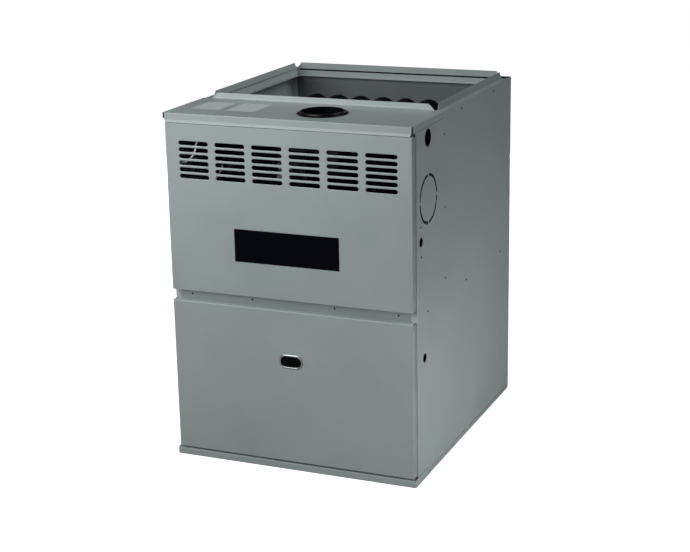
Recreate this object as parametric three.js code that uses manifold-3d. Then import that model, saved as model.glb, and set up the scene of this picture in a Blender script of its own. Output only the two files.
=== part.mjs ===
// Forced air gas furnace: an upflow cabinet with six in-shot burners, a six-tube heat exchanger,
// a draft inducer that vents through the top, and a direct-drive blower below.
// Millimetres, +Z up, +X to the right; the doors face -Y.
import * as THREE from 'three';
import { mergeVertices } from 'three/addons/utils/BufferGeometryUtils.js';
import Module from 'manifold-3d';

// ---------------------------------------------------------------- driving sizes

// Cabinet
const cabinetWidth = 622.3;
const cabinetHeight = 854;
const cabinetDepth = 705;
const casingSheet = 1;           // gauge of every painted panel
const seat = 0.3;                // gap between pieces that touch
const fold = 2.5;                // outside radius of the casing's bends
const frontFold = 15;            // width of the side panels' front fold
const rearFold = 16;             // width of the side panels' rear fold

// Doors
const doorDepth = 19.8;          // front face to the edge of the returns
const doorSideInset = 3.1;
const doorLip = 11;              // inward lip that lies against the cabinet's front folds
const lowerDoorBottom = 20.9;
const lowerDoorDrop = 21.2;      // its top edge, below the blower deck
const upperDoorRise = 4.9;       // its bottom edge, above the blower deck
const upperDoorTopGap = 1.5;     // below the top plate's drip lip
const tongueLength = 24;
const tongueReach = 9;           // how far a tongue passes behind the front fold
const tongueThickness = 1.5;

// Louvres in the upper door
const louvreGroups = 6;
const louvreRows = 6;
const louvreGroupPitch = 94;
const louvreRowPitch = 15.8;
const louvreLength = 75.2;
const louvreHeight = 10.2;
const louvreTopDrop = 70.1;      // middle of the top row, below the cabinet's top

// Plate and sight window
const plateWidth = 265;
const plateHeight = 78.5;
const plateRise = 128;           // centre of the plate, above the blower deck
const plateThickness = 1.2;
const windowWidth = 61;
const windowHeight = 35;
const windowDrop = 123.8;        // centre of the window, below the lower door's top edge
const windowRim = 4.2;           // width of the bezel's visible ring
const windowProud = 1.9;

// Base and middle rails
const railProud = 1.2;           // bottom rail, ahead of the doors
const bottomRailHeight = 17.5;
const railTabHeight = 19.6;
const railTabEnd = 71;
const bottomPanelLip = 11;
const bottomPanelStart = 76;     // front end of its lips
const bottomPanelEndGap = 12;    // rear end of its lips to the cabinet's back
const middleRailDrop = 32;       // its bottom edge, below the blower deck
const middleRailRise = 16;       // its top edge, above the blower deck
const middleRailFold = 14;
const railHoleRadius = 2.5;
const railHoleDrop = 8;          // below the blower deck
const railHoleSpacing = [106, 265];

// Top plate and supply duct flanges
const dripFlange = 15.5;         // straight drop of the front flange
const dripLip = 6.5;             // flared lip under it
const dripFlare = 2;             // how far the lip flares forward
const dripEndGap = 4.5;          // flange end to the cabinet's side
const topSideFlange = 14.5;
const topSideFlangeFront = 6;    // start of the side flange behind the front face
const topPlateBack = 185;        // front edge of the supply opening
const ductFlangeHeight = 14.5;
const ductFlangeDrop = 19.5;     // how far the duct flange hangs below the cabinet's top
const ductLedge = 11;            // inward return at its bottom
const ductOpeningWidth = 578;
const ductBackMargin = 15;       // rear flange to the cabinet's back
const ductCornerCut = 13;        // 45 degree cuts at the flange ends
const ductFlangeStart = 199;
const ductSlit = 3;              // slit along the rear flange's crease
const stripBackMargin = 33;      // rear end of the side panels' top folds to the cabinet's back

// Compartments
const deckHeight = 420;          // top of the blower deck
const deckFold = 20;
const vestibuleFront = 183;      // panel between burner and heat exchanger compartments
const vestibuleFold = 15;

// Holes in the side panels
const gasHoleRadius = 20.5;
const gasHoleY = 73;
const gasHoleDrop = 41;          // below the cabinet's top
const wiringHoleRadius = 11.1;
const powerHoleY = 25;
const powerHoleRise = 162;       // above the blower deck
const controlHoleY = 46.5;
const controlHoleDrop = 120.2;   // below the blower deck
const knockoutRadius = 57.5;
const knockoutSlit = 4;
const knockoutTie = 9;

// Vent and inducer
const ventX = 54;
const ventY = 75;
const ventRadius = 49;
const ventWall = 1.6;
const ventRise = 4.6;            // collar above the top plate
const gasketRadius = 60;
const gasketThickness = 2.2;
const gasketLipWidth = 4;
const inducerDrop = 128;         // shaft, below the cabinet's top
const inducerY = 91;             // middle of the scroll's depth
const inducerDepth = 66;
const inducerWall = 2;
const inducerThroatRadius = 58;
const inducerOutletRadius = 98;
const inducerOutletRise = 66;    // top of the outlet, above the shaft
const inducerWheelRadius = 51;
const inducerWheelDepth = 44;
const inducerBlades = 16;
const inducerShaftRadius = 4;
const inducerEyeRadius = 38;
const coolingFanRadius = 38;
const coolingFanBlades = 7;
const collectorWidth = 376;
const collectorDrop = 58;        // its bottom, below the inducer's shaft
const collectorTopDrop = 26;     // its top, below the cabinet's top

// Heat exchanger
const tubeCount = 6;
const tubePitch = 61.7;
const tubeRadius = 25.4;
const tubeWall = 1.6;
const tubeRise = 80;             // burners and first pass, above the blower deck
const tubeTopDrop = 66;          // last pass, below the cabinet's top
const tubeRearMargin = 200;      // centre of the rear bends to the cabinet's back
const tubeFrontBend = 262;       // centre of the front bend

// Burners and gas train
const burnerFront = 72;
const burnerLength = 102;
const burnerBellRadius = 19;
const burnerThroatRadius = 12;
const burnerHeadRadius = 20.5;
const burnerWall = 1.3;
const rackFloorDrop = 38;        // floor of the rack below the burners' axis
const rackWallRise = 26;
const manifoldRadius = 10.7;
const manifoldY = 44;
const orificeRadius = 5;
const orificeGap = 4;            // orifice tip to burner bell
const valveWidth = 78;
const valveDepth = 58;
const valveHeight = 92;
const gasInletRadius = 10.5;
const valveLeverRadius = 10;

// Blower
const blowerY = 345;
const blowerHeight = 205;
const blowerWheelRadius = 140;
const blowerWheelWidth = 268;
const blowerBladeDepth = 23;
const blowerBlades = 32;
const blowerScrollStart = 150;
const blowerScrollEnd = 205;
const blowerCutoffAngle = 110;
const blowerWidth = 300;
const blowerInletRadius = 119;
const blowerFlange = 12;
const blowerShaftRadius = 6.35;
const blowerMotorRadius = 70;
const blowerMotorLength = 150;
const blowerMotorOut = 38;       // how far the motor stands out of the left inlet
const mountBand = 20;
const mountArms = 3;

// Controls
const panelY = 70;               // control panel plate
const panelLeft = -288;
const panelRight = 60;
const panelDrop = 156;
const boardWidth = 178;
const boardHeight = 122;
const transformerWidth = 52;
const switchWidth = 28;
const switchDepth = 34;
const switchHeight = 20;
const switchX = 214;
const plungerRadius = 4;
const plungerTravel = 3;
const resetTravel = 1.5;
const rolloutRadius = 8.5;
const rolloutLength = 11;
const resetRadius = 2.4;
const pressureRadius = 30;
const pressureDepth = 26;
const pressureX = -240;
const pressureDrop = 36;         // below the inducer's shaft
const hoseRadius = 3.2;

// ---------------------------------------------------------------- worked out from them

const halfWidth = cabinetWidth / 2;
const wallTop = cabinetHeight - casingSheet - seat;
const wallBottom = casingSheet + seat;
const wallInside = halfWidth - casingSheet;
const sideBack = cabinetDepth - casingSheet - seat;
const doorFace = -seat - doorDepth;
const doorHalfWidth = halfWidth - doorSideInset;
const railFace = doorFace - railProud;
const outerHalf = halfWidth + seat + casingSheet;
const tongueX = halfWidth - frontFold / 2;
const lowerDoorTop = deckHeight - lowerDoorDrop;
const upperDoorBottom = deckHeight + upperDoorRise;
const dripBottom = cabinetHeight - dripFlange - dripLip;
const upperDoorTop = dripBottom - upperDoorTopGap;
const louvreTopRow = cabinetHeight - louvreTopDrop;
const plateCentreHeight = deckHeight + plateRise;
const windowCentreHeight = lowerDoorTop - windowDrop;
const middleRailBottom = deckHeight - middleRailDrop;
const middleRailTop = deckHeight + middleRailRise;
const railHoleHeight = deckHeight - railHoleDrop;
const ductHalf = ductOpeningWidth / 2;
const ductOpeningBack = cabinetDepth - ductBackMargin;
const stripBack = cabinetDepth - stripBackMargin;
const ductTop = cabinetHeight + ductFlangeHeight;
const ductBottom = cabinetHeight - ductFlangeDrop;
const innerHalf = wallInside - seat;
const gasHoleHeight = cabinetHeight - gasHoleDrop;
const powerHoleHeight = deckHeight + powerHoleRise;
const controlHoleHeight = deckHeight - controlHoleDrop;
const collarTop = cabinetHeight + ventRise;
const inducerHeight = cabinetHeight - inducerDrop;
const inducerOutletTop = inducerHeight + inducerOutletRise;
const collectorBottom = inducerHeight - collectorDrop;
const collectorTop = cabinetHeight - collectorTopDrop;
const pressureHeight = inducerHeight - pressureDrop;
const tubeBottomPass = deckHeight + tubeRise;
const tubeTopPass = cabinetHeight - tubeTopDrop;
const tubePassRise = (tubeTopPass - tubeBottomPass) / 3;
const tubeRearBend = cabinetDepth - tubeRearMargin;
const tubeX = (index) => (index - (tubeCount - 1) / 2) * tubePitch;
const rackHalf = (tubeCount * tubePitch) / 2 + 6;
const rackFloor = tubeBottomPass - rackFloorDrop;
const burnerBack = burnerFront + burnerLength;
const screwHeadHeight = 2.6;
const screwHeadRadius = 4.6;
const rearScrewHeights = [42, deckHeight - 123.5, plateCentreHeight, cabinetHeight - 18];
const blowerThroatFront = blowerY
  + blowerScrollStart * Math.cos(THREE.MathUtils.degToRad(blowerCutoffAngle));
const blowerThroatBack = blowerY + blowerScrollEnd;
const bodyFront = railFace - dripFlare;
const bodyBack = cabinetDepth + screwHeadHeight;

// ---------------------------------------------------------------- solids by code

const wasm = await Module();
wasm.setup();

function toSolid(geometry) {
  const bare = new THREE.BufferGeometry();
  bare.setAttribute('position', geometry.getAttribute('position').clone());
  if (geometry.index) bare.setIndex(geometry.index.clone());
  const welded = mergeVertices(bare);
  const vertProperties = new Float32Array(welded.getAttribute('position').array);
  const triVerts = new Uint32Array(welded.index.array);
  return new wasm.Manifold(new wasm.Mesh({ numProp: 3, vertProperties, triVerts }));
}

function toGeometry(solid) {
  const mesh = solid.getMesh();
  const geometry = new THREE.BufferGeometry();
  geometry.setAttribute('position', new THREE.BufferAttribute(new Float32Array(mesh.vertProperties), 3));
  geometry.setIndex(new THREE.BufferAttribute(new Uint32Array(mesh.triVerts), 1));
  geometry.computeVertexNormals();
  return geometry;
}

function join(...geometries) {
  return toGeometry(geometries.map(toSolid).reduce((sum, next) => sum.add(next)));
}

function cut(geometry, ...tools) {
  return toGeometry(tools.map(toSolid).reduce((left, tool) => left.subtract(tool), toSolid(geometry)));
}

// A block from corner to corner.
function block([x0, x1], [y0, y1], [z0, z1]) {
  const box = new THREE.BoxGeometry(x1 - x0, y1 - y0, z1 - z0);
  return box.translate((x0 + x1) / 2, (y0 + y1) / 2, (z0 + z1) / 2);
}

const outline = (points) => new THREE.Shape(points.map(([a, b]) => new THREE.Vector2(a, b)));

function extrude(shape, depth, arcSteps) {
  return new THREE.ExtrudeGeometry(shape, { depth, bevelEnabled: false, curveSegments: arcSteps });
}

// Profiles drawn in the (y, z), (x, z) and (x, y) planes, run along the third axis.
const alongXBasis = new THREE.Matrix4().makeBasis(
  new THREE.Vector3(0, 1, 0), new THREE.Vector3(0, 0, 1), new THREE.Vector3(1, 0, 0));
const alongYBasis = new THREE.Matrix4().makeBasis(
  new THREE.Vector3(1, 0, 0), new THREE.Vector3(0, 0, 1), new THREE.Vector3(0, -1, 0));

function alongX(shape, x0, x1, arcSteps = 4) {
  return extrude(shape, x1 - x0, arcSteps).applyMatrix4(alongXBasis).translate(x0, 0, 0);
}

function alongY(shape, y0, y1, arcSteps = 4) {
  return extrude(shape, y1 - y0, arcSteps).applyMatrix4(alongYBasis).translate(0, y1, 0);
}

function alongZ(shape, z0, z1, arcSteps = 4) {
  return extrude(shape, z1 - z0, arcSteps).translate(0, 0, z0);
}

// A round bar or boring tool along one axis; centre is its place on the other two.
function bar(axis, [a, b], radius, from, to, sides = 16) {
  const cylinder = new THREE.CylinderGeometry(radius, radius, to - from, sides);
  const middle = (from + to) / 2;
  if (axis === 'x') return cylinder.rotateZ(-Math.PI / 2).translate(middle, a, b);
  if (axis === 'z') return cylinder.rotateX(Math.PI / 2).translate(a, b, middle);
  return cylinder.translate(a, middle, b);
}

function mirrorX(geometry) {
  const mirrored = toGeometry(toSolid(geometry));
  mirrored.applyMatrix4(new THREE.Matrix4().makeScale(-1, 1, 1));
  const index = mirrored.index.array;
  for (let i = 0; i < index.length; i += 3) [index[i], index[i + 1]] = [index[i + 1], index[i]];
  mirrored.computeVertexNormals();
  return mirrored;
}

// A closed outline of bent sheet: the line follows one face, the thickness is laid off to its
// left (or to its right when negative), and every corner is a bend of the given radius.
function bentSheet(line, thickness, radius = fold) {
  const corners = line.map(([a, b]) => new THREE.Vector2(a, b));
  const face = [corners[0]];
  for (let i = 1; i < corners.length - 1; i += 1) {
    const corner = corners[i];
    const back = corners[i - 1].clone().sub(corner).normalize();
    const ahead = corners[i + 1].clone().sub(corner).normalize();
    const half = Math.acos(back.dot(ahead)) / 2;
    const centre = corner.clone().add(
      back.clone().add(ahead).normalize().multiplyScalar(radius / Math.sin(half)));
    const start = corner.clone().addScaledVector(back, radius / Math.tan(half)).sub(centre);
    const end = corner.clone().addScaledVector(ahead, radius / Math.tan(half)).sub(centre);
    const turn = Math.atan2(start.cross(end), start.dot(end));
    const steps = 2;
    for (let k = 0; k <= steps; k += 1) {
      const point = start.clone().rotateAround(new THREE.Vector2(), (turn * k) / steps);
      face.push(point.add(centre));
    }
  }
  face.push(corners[corners.length - 1]);
  const other = face.map((point, i) => {
    const before = point.clone().sub(face[Math.max(i - 1, 0)]).normalize();
    const after = face[Math.min(i + 1, face.length - 1)].clone().sub(point).normalize();
    if (i === 0) before.copy(after);
    if (i === face.length - 1) after.copy(before);
    const along = before.clone().add(after).normalize();
    const reach = thickness / along.dot(before);
    return new THREE.Vector2(point.x - along.y * reach, point.y + along.x * reach);
  });
  return new THREE.Shape([...face, ...other.reverse()]);
}

// A slot or oval with round ends, lying along the first axis of its plane.
function stadium(a, b, length, height) {
  const radius = height / 2;
  const shape = new THREE.Shape();
  shape.absarc(a + length / 2 - radius, b, radius, -Math.PI / 2, Math.PI / 2, false);
  shape.absarc(a - length / 2 + radius, b, radius, Math.PI / 2, 1.5 * Math.PI, false);
  return shape;
}

// A smooth solid through rings of equal point counts, closed flat at both ends.
function loft(rings) {
  const count = rings[0].length;
  const position = rings.flat().flatMap((point) => point.toArray());
  const index = [];
  for (let r = 0; r < rings.length - 1; r += 1) {
    for (let i = 0; i < count; i += 1) {
      const a = r * count + i;
      const b = r * count + ((i + 1) % count);
      index.push(a, b, b + count, a, b + count, a + count);
    }
  }
  const last = (rings.length - 1) * count;
  for (let i = 1; i < count - 1; i += 1) {
    index.push(0, i + 1, i);
    index.push(last, last + i, last + i + 1);
  }
  const geometry = new THREE.BufferGeometry();
  geometry.setAttribute('position', new THREE.Float32BufferAttribute(position, 3));
  geometry.setIndex(index);
  return geometry;
}

// A curve whose stations are the only points an extrusion along it uses, so straight runs
// take one step. Each station has a point and a direction.
class StationPath extends THREE.Curve {
  constructor(stations) {
    super();
    this.stations = stations;
  }

  station(u) {
    return this.stations[Math.round(u * (this.stations.length - 1))];
  }

  getPoint(u, target = new THREE.Vector3()) {
    return target.copy(this.station(u).point);
  }

  getPointAt(u, target) {
    return this.getPoint(u, target);
  }

  getTangentAt(u, target = new THREE.Vector3()) {
    return target.copy(this.station(u).direction);
  }
}

function sweep(shape, stations, arcSteps) {
  const extrudePath = new StationPath(stations);
  return new THREE.ExtrudeGeometry(shape, {
    steps: stations.length - 1, extrudePath, curveSegments: arcSteps,
  });
}

function polygonRing(radius, sides, bore, boreSides) {
  const circle = (r, n) => Array.from({ length: n }, (_, i) => {
    const angle = (2 * Math.PI * (i + 0.5)) / n;
    return new THREE.Vector2(r * Math.cos(angle), r * Math.sin(angle));
  });
  const shape = new THREE.Shape(circle(radius, sides));
  if (bore) shape.holes.push(new THREE.Path(circle(bore, boreSides)));
  return shape;
}

// ---------------------------------------------------------------- finishes

const finish = (color, roughness, metalness) =>
  new THREE.MeshStandardMaterial({ color, roughness, metalness });

const paint = finish(0x8c9592, 0.45, 0.15);
const galvanised = finish(0x9ea3a3, 0.45, 0.8);
const aluminised = finish(0x8f8f8c, 0.5, 0.85);
const castMetal = finish(0xa9aba8, 0.55, 0.8);
const blackPlastic = finish(0x141516, 0.35, 0);
const blackPaint = finish(0x1c1d1e, 0.5, 0.3);
const rubber = finish(0x101112, 0.6, 0);
const smokedGlass = finish(0x0b0d0e, 0.1, 0);
const whitePlastic = finish(0xe6e6e0, 0.5, 0);
const redPlastic = finish(0xa8281e, 0.5, 0);
const boardGreen = finish(0x2c5a3a, 0.55, 0);
const ceramic = finish(0xded8c8, 0.7, 0);

const furnace = new THREE.Group();

// Everything is drawn with y = 0 at the cabinet's front folds; the group brings the middle of
// the whole depth to y = 0.
furnace.position.y = -(bodyFront + bodyBack) / 2;

function add(name, geometry, material) {
  const mesh = new THREE.Mesh(geometry, material);
  mesh.name = name;
  furnace.add(mesh);
}

// ---------------------------------------------------------------- casing

// Where the doors' tongues pass the side panels' front folds.
const tongueHeights = [lowerDoorBottom + 60, lowerDoorTop - 60, upperDoorBottom + 60, upperDoorTop - 60];

function tongueSlots() {
  const half = tongueThickness / 2 + 1;
  return tongueHeights.map((height) =>
    block([tongueX - half, tongueX + half], [-casingSheet, 2 * casingSheet],
      [height - tongueLength / 2 - 1, height + tongueLength / 2 + 1]));
}

// Four slits in a ring: the disc stays on its ties until the vent goes out of this side.
function knockoutSlits() {
  const tie = knockoutTie / knockoutRadius / 2;
  const height = inducerHeight - ventX;
  return [0, 1, 2, 3].map((quarter) => {
    const start = (quarter * Math.PI) / 2 + tie;
    const end = ((quarter + 1) * Math.PI) / 2 - tie;
    const slit = new THREE.Shape();
    slit.absarc(ventY, height, knockoutRadius, start, end, false);
    slit.absarc(ventY, height, knockoutRadius - knockoutSlit, end, start, true);
    return alongX(slit, wallInside - 1, halfWidth + 1, 3);
  });
}

function sidePanel() {
  const plan = bentSheet([
    [halfWidth - frontFold, 0], [halfWidth, 0], [halfWidth, sideBack], [halfWidth - rearFold, sideBack],
  ], casingSheet);
  const wall = alongZ(plan, wallBottom, wallTop);
  const topFold = block([ductHalf + casingSheet + seat, halfWidth - casingSheet / 2],
    [casingSheet / 2, stripBack], [wallTop - casingSheet, wallTop]);
  const bore = (y, z, radius) => bar('x', [y, z], radius, wallInside - 1, halfWidth + 1);
  const corner = block([halfWidth - rearFold - 1, halfWidth + 1], [sideBack - fold, sideBack + 1],
    [wallTop - fold, wallTop + 1]);
  return cut(join(wall, topFold), corner,
    bore(gasHoleY, gasHoleHeight, gasHoleRadius),
    bore(powerHoleY, powerHoleHeight, wiringHoleRadius),
    bore(controlHoleY, controlHoleHeight, wiringHoleRadius),
    ...knockoutSlits(), ...tongueSlots());
}

// The rear panel folds forward over the top; its screws are driven from behind.
function rearPanel() {
  const section = bentSheet([
    [cabinetDepth, wallBottom], [cabinetDepth, cabinetHeight],
    [ductOpeningBack + casingSheet + seat, cabinetHeight],
  ], casingSheet);
  const panel = alongX(section, -halfWidth, halfWidth);
  const heads = rearScrewHeights.flatMap((height) => [-1, 1].map((side) =>
    bar('y', [side * (halfWidth - rearFold / 2), height], screwHeadRadius,
      cabinetDepth - casingSheet / 2, bodyBack, 8)));
  return join(panel, ...heads);
}

// The floor's edges are folded up outside the side panels.
function bottomPanel() {
  const section = bentSheet([
    [-outerHalf, bottomPanelLip], [-outerHalf, 0], [outerHalf, 0], [outerHalf, bottomPanelLip],
  ], casingSheet, 1.5);
  const trayBack = cabinetDepth - bottomPanelEndGap;
  const tray = alongY(section, bottomPanelStart, trayBack);
  const front = block([-halfWidth, halfWidth], [frontFold + seat, bottomPanelStart + 1], [0, casingSheet]);
  const back = block([-halfWidth, halfWidth], [trayBack - 1, sideBack], [0, casingSheet]);
  return join(tray, front, back);
}

// A channel under the lower door, with a tab wrapped round each side.
function bottomFrontRail() {
  const section = bentSheet([
    [frontFold, 0], [railFace, 0], [railFace, bottomRailHeight], [-seat - casingSheet, bottomRailHeight],
  ], -casingSheet);
  const channel = alongX(section, -outerHalf, outerHalf);
  const tab = alongX(outline([
    [railFace + 0.5, fold], [railFace + fold, 0.5], [railTabEnd, 0], [railTabEnd, railTabHeight - 5],
    [railTabEnd - 5, railTabHeight], [railFace + fold + 3, railTabHeight],
    [railFace + 0.5, bottomRailHeight - fold],
  ]), halfWidth + seat, outerHalf);
  return join(channel, tab, mirrorX(tab));
}

// A channel between the doors that ties the side panels and carries the front of the deck.
function middleRail() {
  const section = bentSheet([
    [middleRailFold, middleRailBottom], [0, middleRailBottom], [0, middleRailTop],
    [middleRailFold, middleRailTop],
  ], -casingSheet);
  const half = halfWidth - frontFold - seat;
  const holes = railHoleSpacing.flatMap((x) => [-1, 1].map((side) =>
    bar('y', [side * x, railHoleHeight], railHoleRadius, -1, 2 * casingSheet, 8)));
  return cut(alongX(section, -half, half), ...holes);
}

// One sheet: flared drip lip, front flange, top, and the front flange of the supply opening.
function topPlate() {
  const flareTop = dripBottom + dripLip;
  const section = bentSheet([
    [railFace - dripFlare, dripBottom], [railFace, flareTop], [railFace, cabinetHeight],
    [topPlateBack, cabinetHeight], [topPlateBack, ductTop],
  ], -casingSheet);
  const sheet = alongX(section, -outerHalf, outerHalf);
  const flangeEnd = halfWidth - dripEndGap;
  const relief = alongY(outline([
    [flangeEnd, cabinetHeight - fold], [flangeEnd, flareTop], [flangeEnd - 4, dripBottom - 1],
    [outerHalf + 5, dripBottom - 1], [outerHalf + 5, cabinetHeight - fold],
  ]), railFace - 10, railFace + topSideFlangeFront);
  const ductEnd = ductHalf - 2;
  const corner = alongY(outline([
    [ductEnd, cabinetHeight], [ductEnd - ductFlangeHeight, ductTop + 1], [outerHalf + 5, ductTop + 1],
    [outerHalf + 5, cabinetHeight],
  ]), topPlateBack - fold - 1, topPlateBack + 5);
  const sideFlange = block([halfWidth + seat, outerHalf], [railFace + topSideFlangeFront, topPlateBack - 3],
    [cabinetHeight - topSideFlange, cabinetHeight - casingSheet / 2]);
  const vent = bar('z', [ventX, ventY], ventRadius + 2, cabinetHeight - 5, cabinetHeight + 5, 24);
  return cut(join(sheet, sideFlange, mirrorX(sideFlange)),
    relief, mirrorX(relief), corner, mirrorX(corner), vent);
}

// The rail along each side of the supply opening: it stands above the cabinet for the duct,
// hangs down inside, and turns in at the bottom. A crease marks where it can be folded down.
function ductFlangeSide() {
  const section = bentSheet([
    [ductHalf - ductLedge, ductBottom], [ductHalf, ductBottom], [ductHalf, ductTop],
  ], -casingSheet);
  const rail = alongY(section, topPlateBack + casingSheet + seat, ductOpeningBack - seat);
  const above = ductTop + 1;
  const frontCut = alongX(outline([
    [topPlateBack - 5, cabinetHeight], [ductFlangeStart, cabinetHeight],
    [ductFlangeStart + ductFlangeHeight * 0.6, above], [topPlateBack - 5, above],
  ]), ductHalf - 5, ductHalf + 5);
  const backCut = alongX(outline([
    [ductOpeningBack - 4, cabinetHeight], [ductOpeningBack + 5, cabinetHeight],
    [ductOpeningBack + 5, above], [ductOpeningBack - 4 - ductCornerCut, above],
  ]), ductHalf - 5, ductHalf + 5);
  const crease = block([ductHalf - 1, ductHalf + 0.3], [0, cabinetDepth],
    [cabinetHeight - 0.4, cabinetHeight + 0.4]);
  return cut(rail, frontCut, backCut, crease);
}

function ductFlangeRear() {
  const section = bentSheet([
    [ductOpeningBack - ductLedge, ductBottom], [ductOpeningBack, ductBottom], [ductOpeningBack, ductTop],
  ], -casingSheet);
  const rail = alongX(section, -ductHalf, ductHalf);
  const ledgeEnd = block([ductHalf - ductLedge - seat, ductHalf + 5],
    [ductOpeningBack - ductLedge - 5, ductOpeningBack - seat / 2], [ductBottom - 5, cabinetHeight + 1]);
  const corner = alongY(outline([
    [ductHalf - 1, cabinetHeight], [ductHalf - 1 - ductCornerCut, ductTop + 1],
    [ductHalf + 5, ductTop + 1], [ductHalf + 5, cabinetHeight],
  ]), ductOpeningBack - 5, ductOpeningBack + 5);
  const slit = block([-ductHalf + 7, ductHalf - 30], [ductOpeningBack - 5, ductOpeningBack + 5],
    [cabinetHeight - ductSlit / 2, cabinetHeight + ductSlit / 2]);
  return cut(rail, ledgeEnd, mirrorX(ledgeEnd), corner, mirrorX(corner), slit);
}

function blowerDeck() {
  const section = bentSheet([
    [-innerHalf, deckHeight - deckFold], [-innerHalf, deckHeight], [innerHalf, deckHeight],
    [innerHalf, deckHeight - deckFold],
  ], -casingSheet);
  const deck = alongY(section, fold, sideBack - fold);
  const frontHalf = innerHalf - 12;
  const frontEdge = block([-frontHalf, frontHalf], [casingSheet + seat, fold + 1],
    [deckHeight - casingSheet, deckHeight]);
  const frontFlange = block([-frontHalf, frontHalf], [casingSheet + seat, 2 * casingSheet + seat],
    [deckHeight - deckFold, deckHeight - casingSheet / 2]);
  const half = blowerWidth / 2 - 2;
  const outlet = block([-half, half], [blowerThroatFront + 2, blowerThroatBack - 2],
    [deckHeight - 5, deckHeight + 5]);
  return cut(join(deck, frontEdge, frontFlange), outlet);
}

// ---------------------------------------------------------------- doors

// A pan with folded returns, lips that lie on the cabinet's front folds, and four tongues that
// pass slots in those folds. The pan's front edges are rounded by the bend.
function doorPan(bottom, top) {
  const width = 2 * doorHalfWidth;
  const height = top - bottom;
  const face = outline([
    [-width / 2 + fold, bottom + fold], [width / 2 - fold, bottom + fold],
    [width / 2 - fold, top - fold], [-width / 2 + fold, top - fold],
  ]);
  const rounded = new THREE.ExtrudeGeometry(face, {
    depth: doorDepth, bevelEnabled: true, bevelThickness: fold, bevelSize: fold, bevelSegments: 2,
  }).applyMatrix4(alongYBasis).translate(0, doorFace + fold + doorDepth, 0);
  const behind = block([-width, width], [-seat, doorDepth], [bottom - height, top + height]);
  const inside = block([-doorHalfWidth + casingSheet, doorHalfWidth - casingSheet],
    [doorFace + casingSheet, -seat - casingSheet], [bottom + casingSheet, top - casingSheet]);
  const mouth = block([-doorHalfWidth + doorLip, doorHalfWidth - doorLip],
    [-seat - 2 * casingSheet, seat], [bottom + casingSheet, top - casingSheet]);
  const tongues = tongueHeights.filter((middle) => middle > bottom && middle < top).flatMap((middle) =>
    [-1, 1].map((side) => block([side * tongueX - tongueThickness / 2, side * tongueX + tongueThickness / 2],
      [-seat - casingSheet / 2, tongueReach], [middle - tongueLength / 2, middle + tongueLength / 2])));
  return join(cut(rounded, behind, inside, mouth), ...tongues);
}

function louvreSlots() {
  const slots = [];
  for (let group = 0; group < louvreGroups; group += 1) {
    const x = (group - (louvreGroups - 1) / 2) * louvreGroupPitch;
    for (let row = 0; row < louvreRows; row += 1) {
      slots.push(stadium(x, louvreTopRow - row * louvreRowPitch, louvreLength, louvreHeight));
    }
  }
  return alongY(slots, doorFace - 1, doorFace + 2 * casingSheet, 2);
}

const windowHoleWidth = windowWidth - 2 * windowRim + 3;
const windowHoleHeight = windowHeight - 2 * windowRim + 3;

function upperDoor() {
  return cut(doorPan(upperDoorBottom, upperDoorTop), louvreSlots());
}

// The tab folded down from the top return holds the safety switch in while the door is on.
const strikerBottom = middleRailBottom - switchHeight - seat - 2;

function lowerDoor() {
  const hole = alongY(stadium(0, windowCentreHeight, windowHoleWidth, windowHoleHeight),
    doorFace - 1, doorFace + 2 * casingSheet, 4);
  const striker = block([switchX - 11, switchX + 11], [-seat - casingSheet, -seat],
    [strikerBottom, lowerDoorTop - casingSheet / 2]);
  return join(cut(doorPan(lowerDoorBottom, lowerDoorTop), hole), striker);
}

function nameplate() {
  const half = plateWidth / 2;
  return block([-half, half], [doorFace - seat - plateThickness, doorFace - seat],
    [plateCentreHeight - plateHeight / 2, plateCentreHeight + plateHeight / 2]);
}

// A raised oval ring with a neck through the door's skin.
function windowBezel() {
  const ring = stadium(0, windowCentreHeight, windowWidth, windowHeight);
  const rise = windowProud - seat;
  const rounded = new THREE.ExtrudeGeometry(
    stadium(0, windowCentreHeight, windowWidth - rise, windowHeight - rise),
    { depth: 0.1, bevelEnabled: true, bevelThickness: rise / 2, bevelSize: rise / 2, bevelSegments: 2,
      curveSegments: 4 },
  ).applyMatrix4(alongYBasis).translate(0, doorFace - seat - rise / 2, 0);
  const flat = alongY(ring, doorFace - seat - rise / 2, doorFace - seat);
  const neck = alongY(
    stadium(0, windowCentreHeight, windowHoleWidth - 2 * seat, windowHoleHeight - 2 * seat),
    doorFace - seat - 0.5, doorFace + casingSheet + 1.5);
  const bore = alongY(
    stadium(0, windowCentreHeight, windowWidth - 2 * windowRim, windowHeight - 2 * windowRim),
    doorFace - 10, doorFace + 10);
  return cut(join(rounded, flat, neck), bore);
}

function windowGlass() {
  const front = doorFace + casingSheet + 1.5 + seat;
  return alongY(stadium(0, windowCentreHeight, windowWidth - 2, windowHeight - 2), front, front + 2.5);
}

// ---------------------------------------------------------------- shared forms

// A spiral housing seen along its shaft. The radius grows steadily from the cutoff, the way the
// wheel turns, and the outer wall then runs straight up to the outlet.
function scroll(a, b, start, end, cutoffDegrees, top, inset) {
  const steps = 16;
  const cutoff = THREE.MathUtils.degToRad(cutoffDegrees);
  const spiral = Array.from({ length: steps + 1 }, (_, k) => {
    const angle = cutoff + ((2 * Math.PI - cutoff) * k) / steps;
    const radius = start + ((end - start) * k) / steps - inset;
    return [a + radius * Math.cos(angle), b + radius * Math.sin(angle)];
  });
  const throat = a + start * Math.cos(cutoff) + inset;
  return outline([[throat, spiral[0][1]], ...spiral, [a + end - inset, top], [throat, top]]);
}

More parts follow.
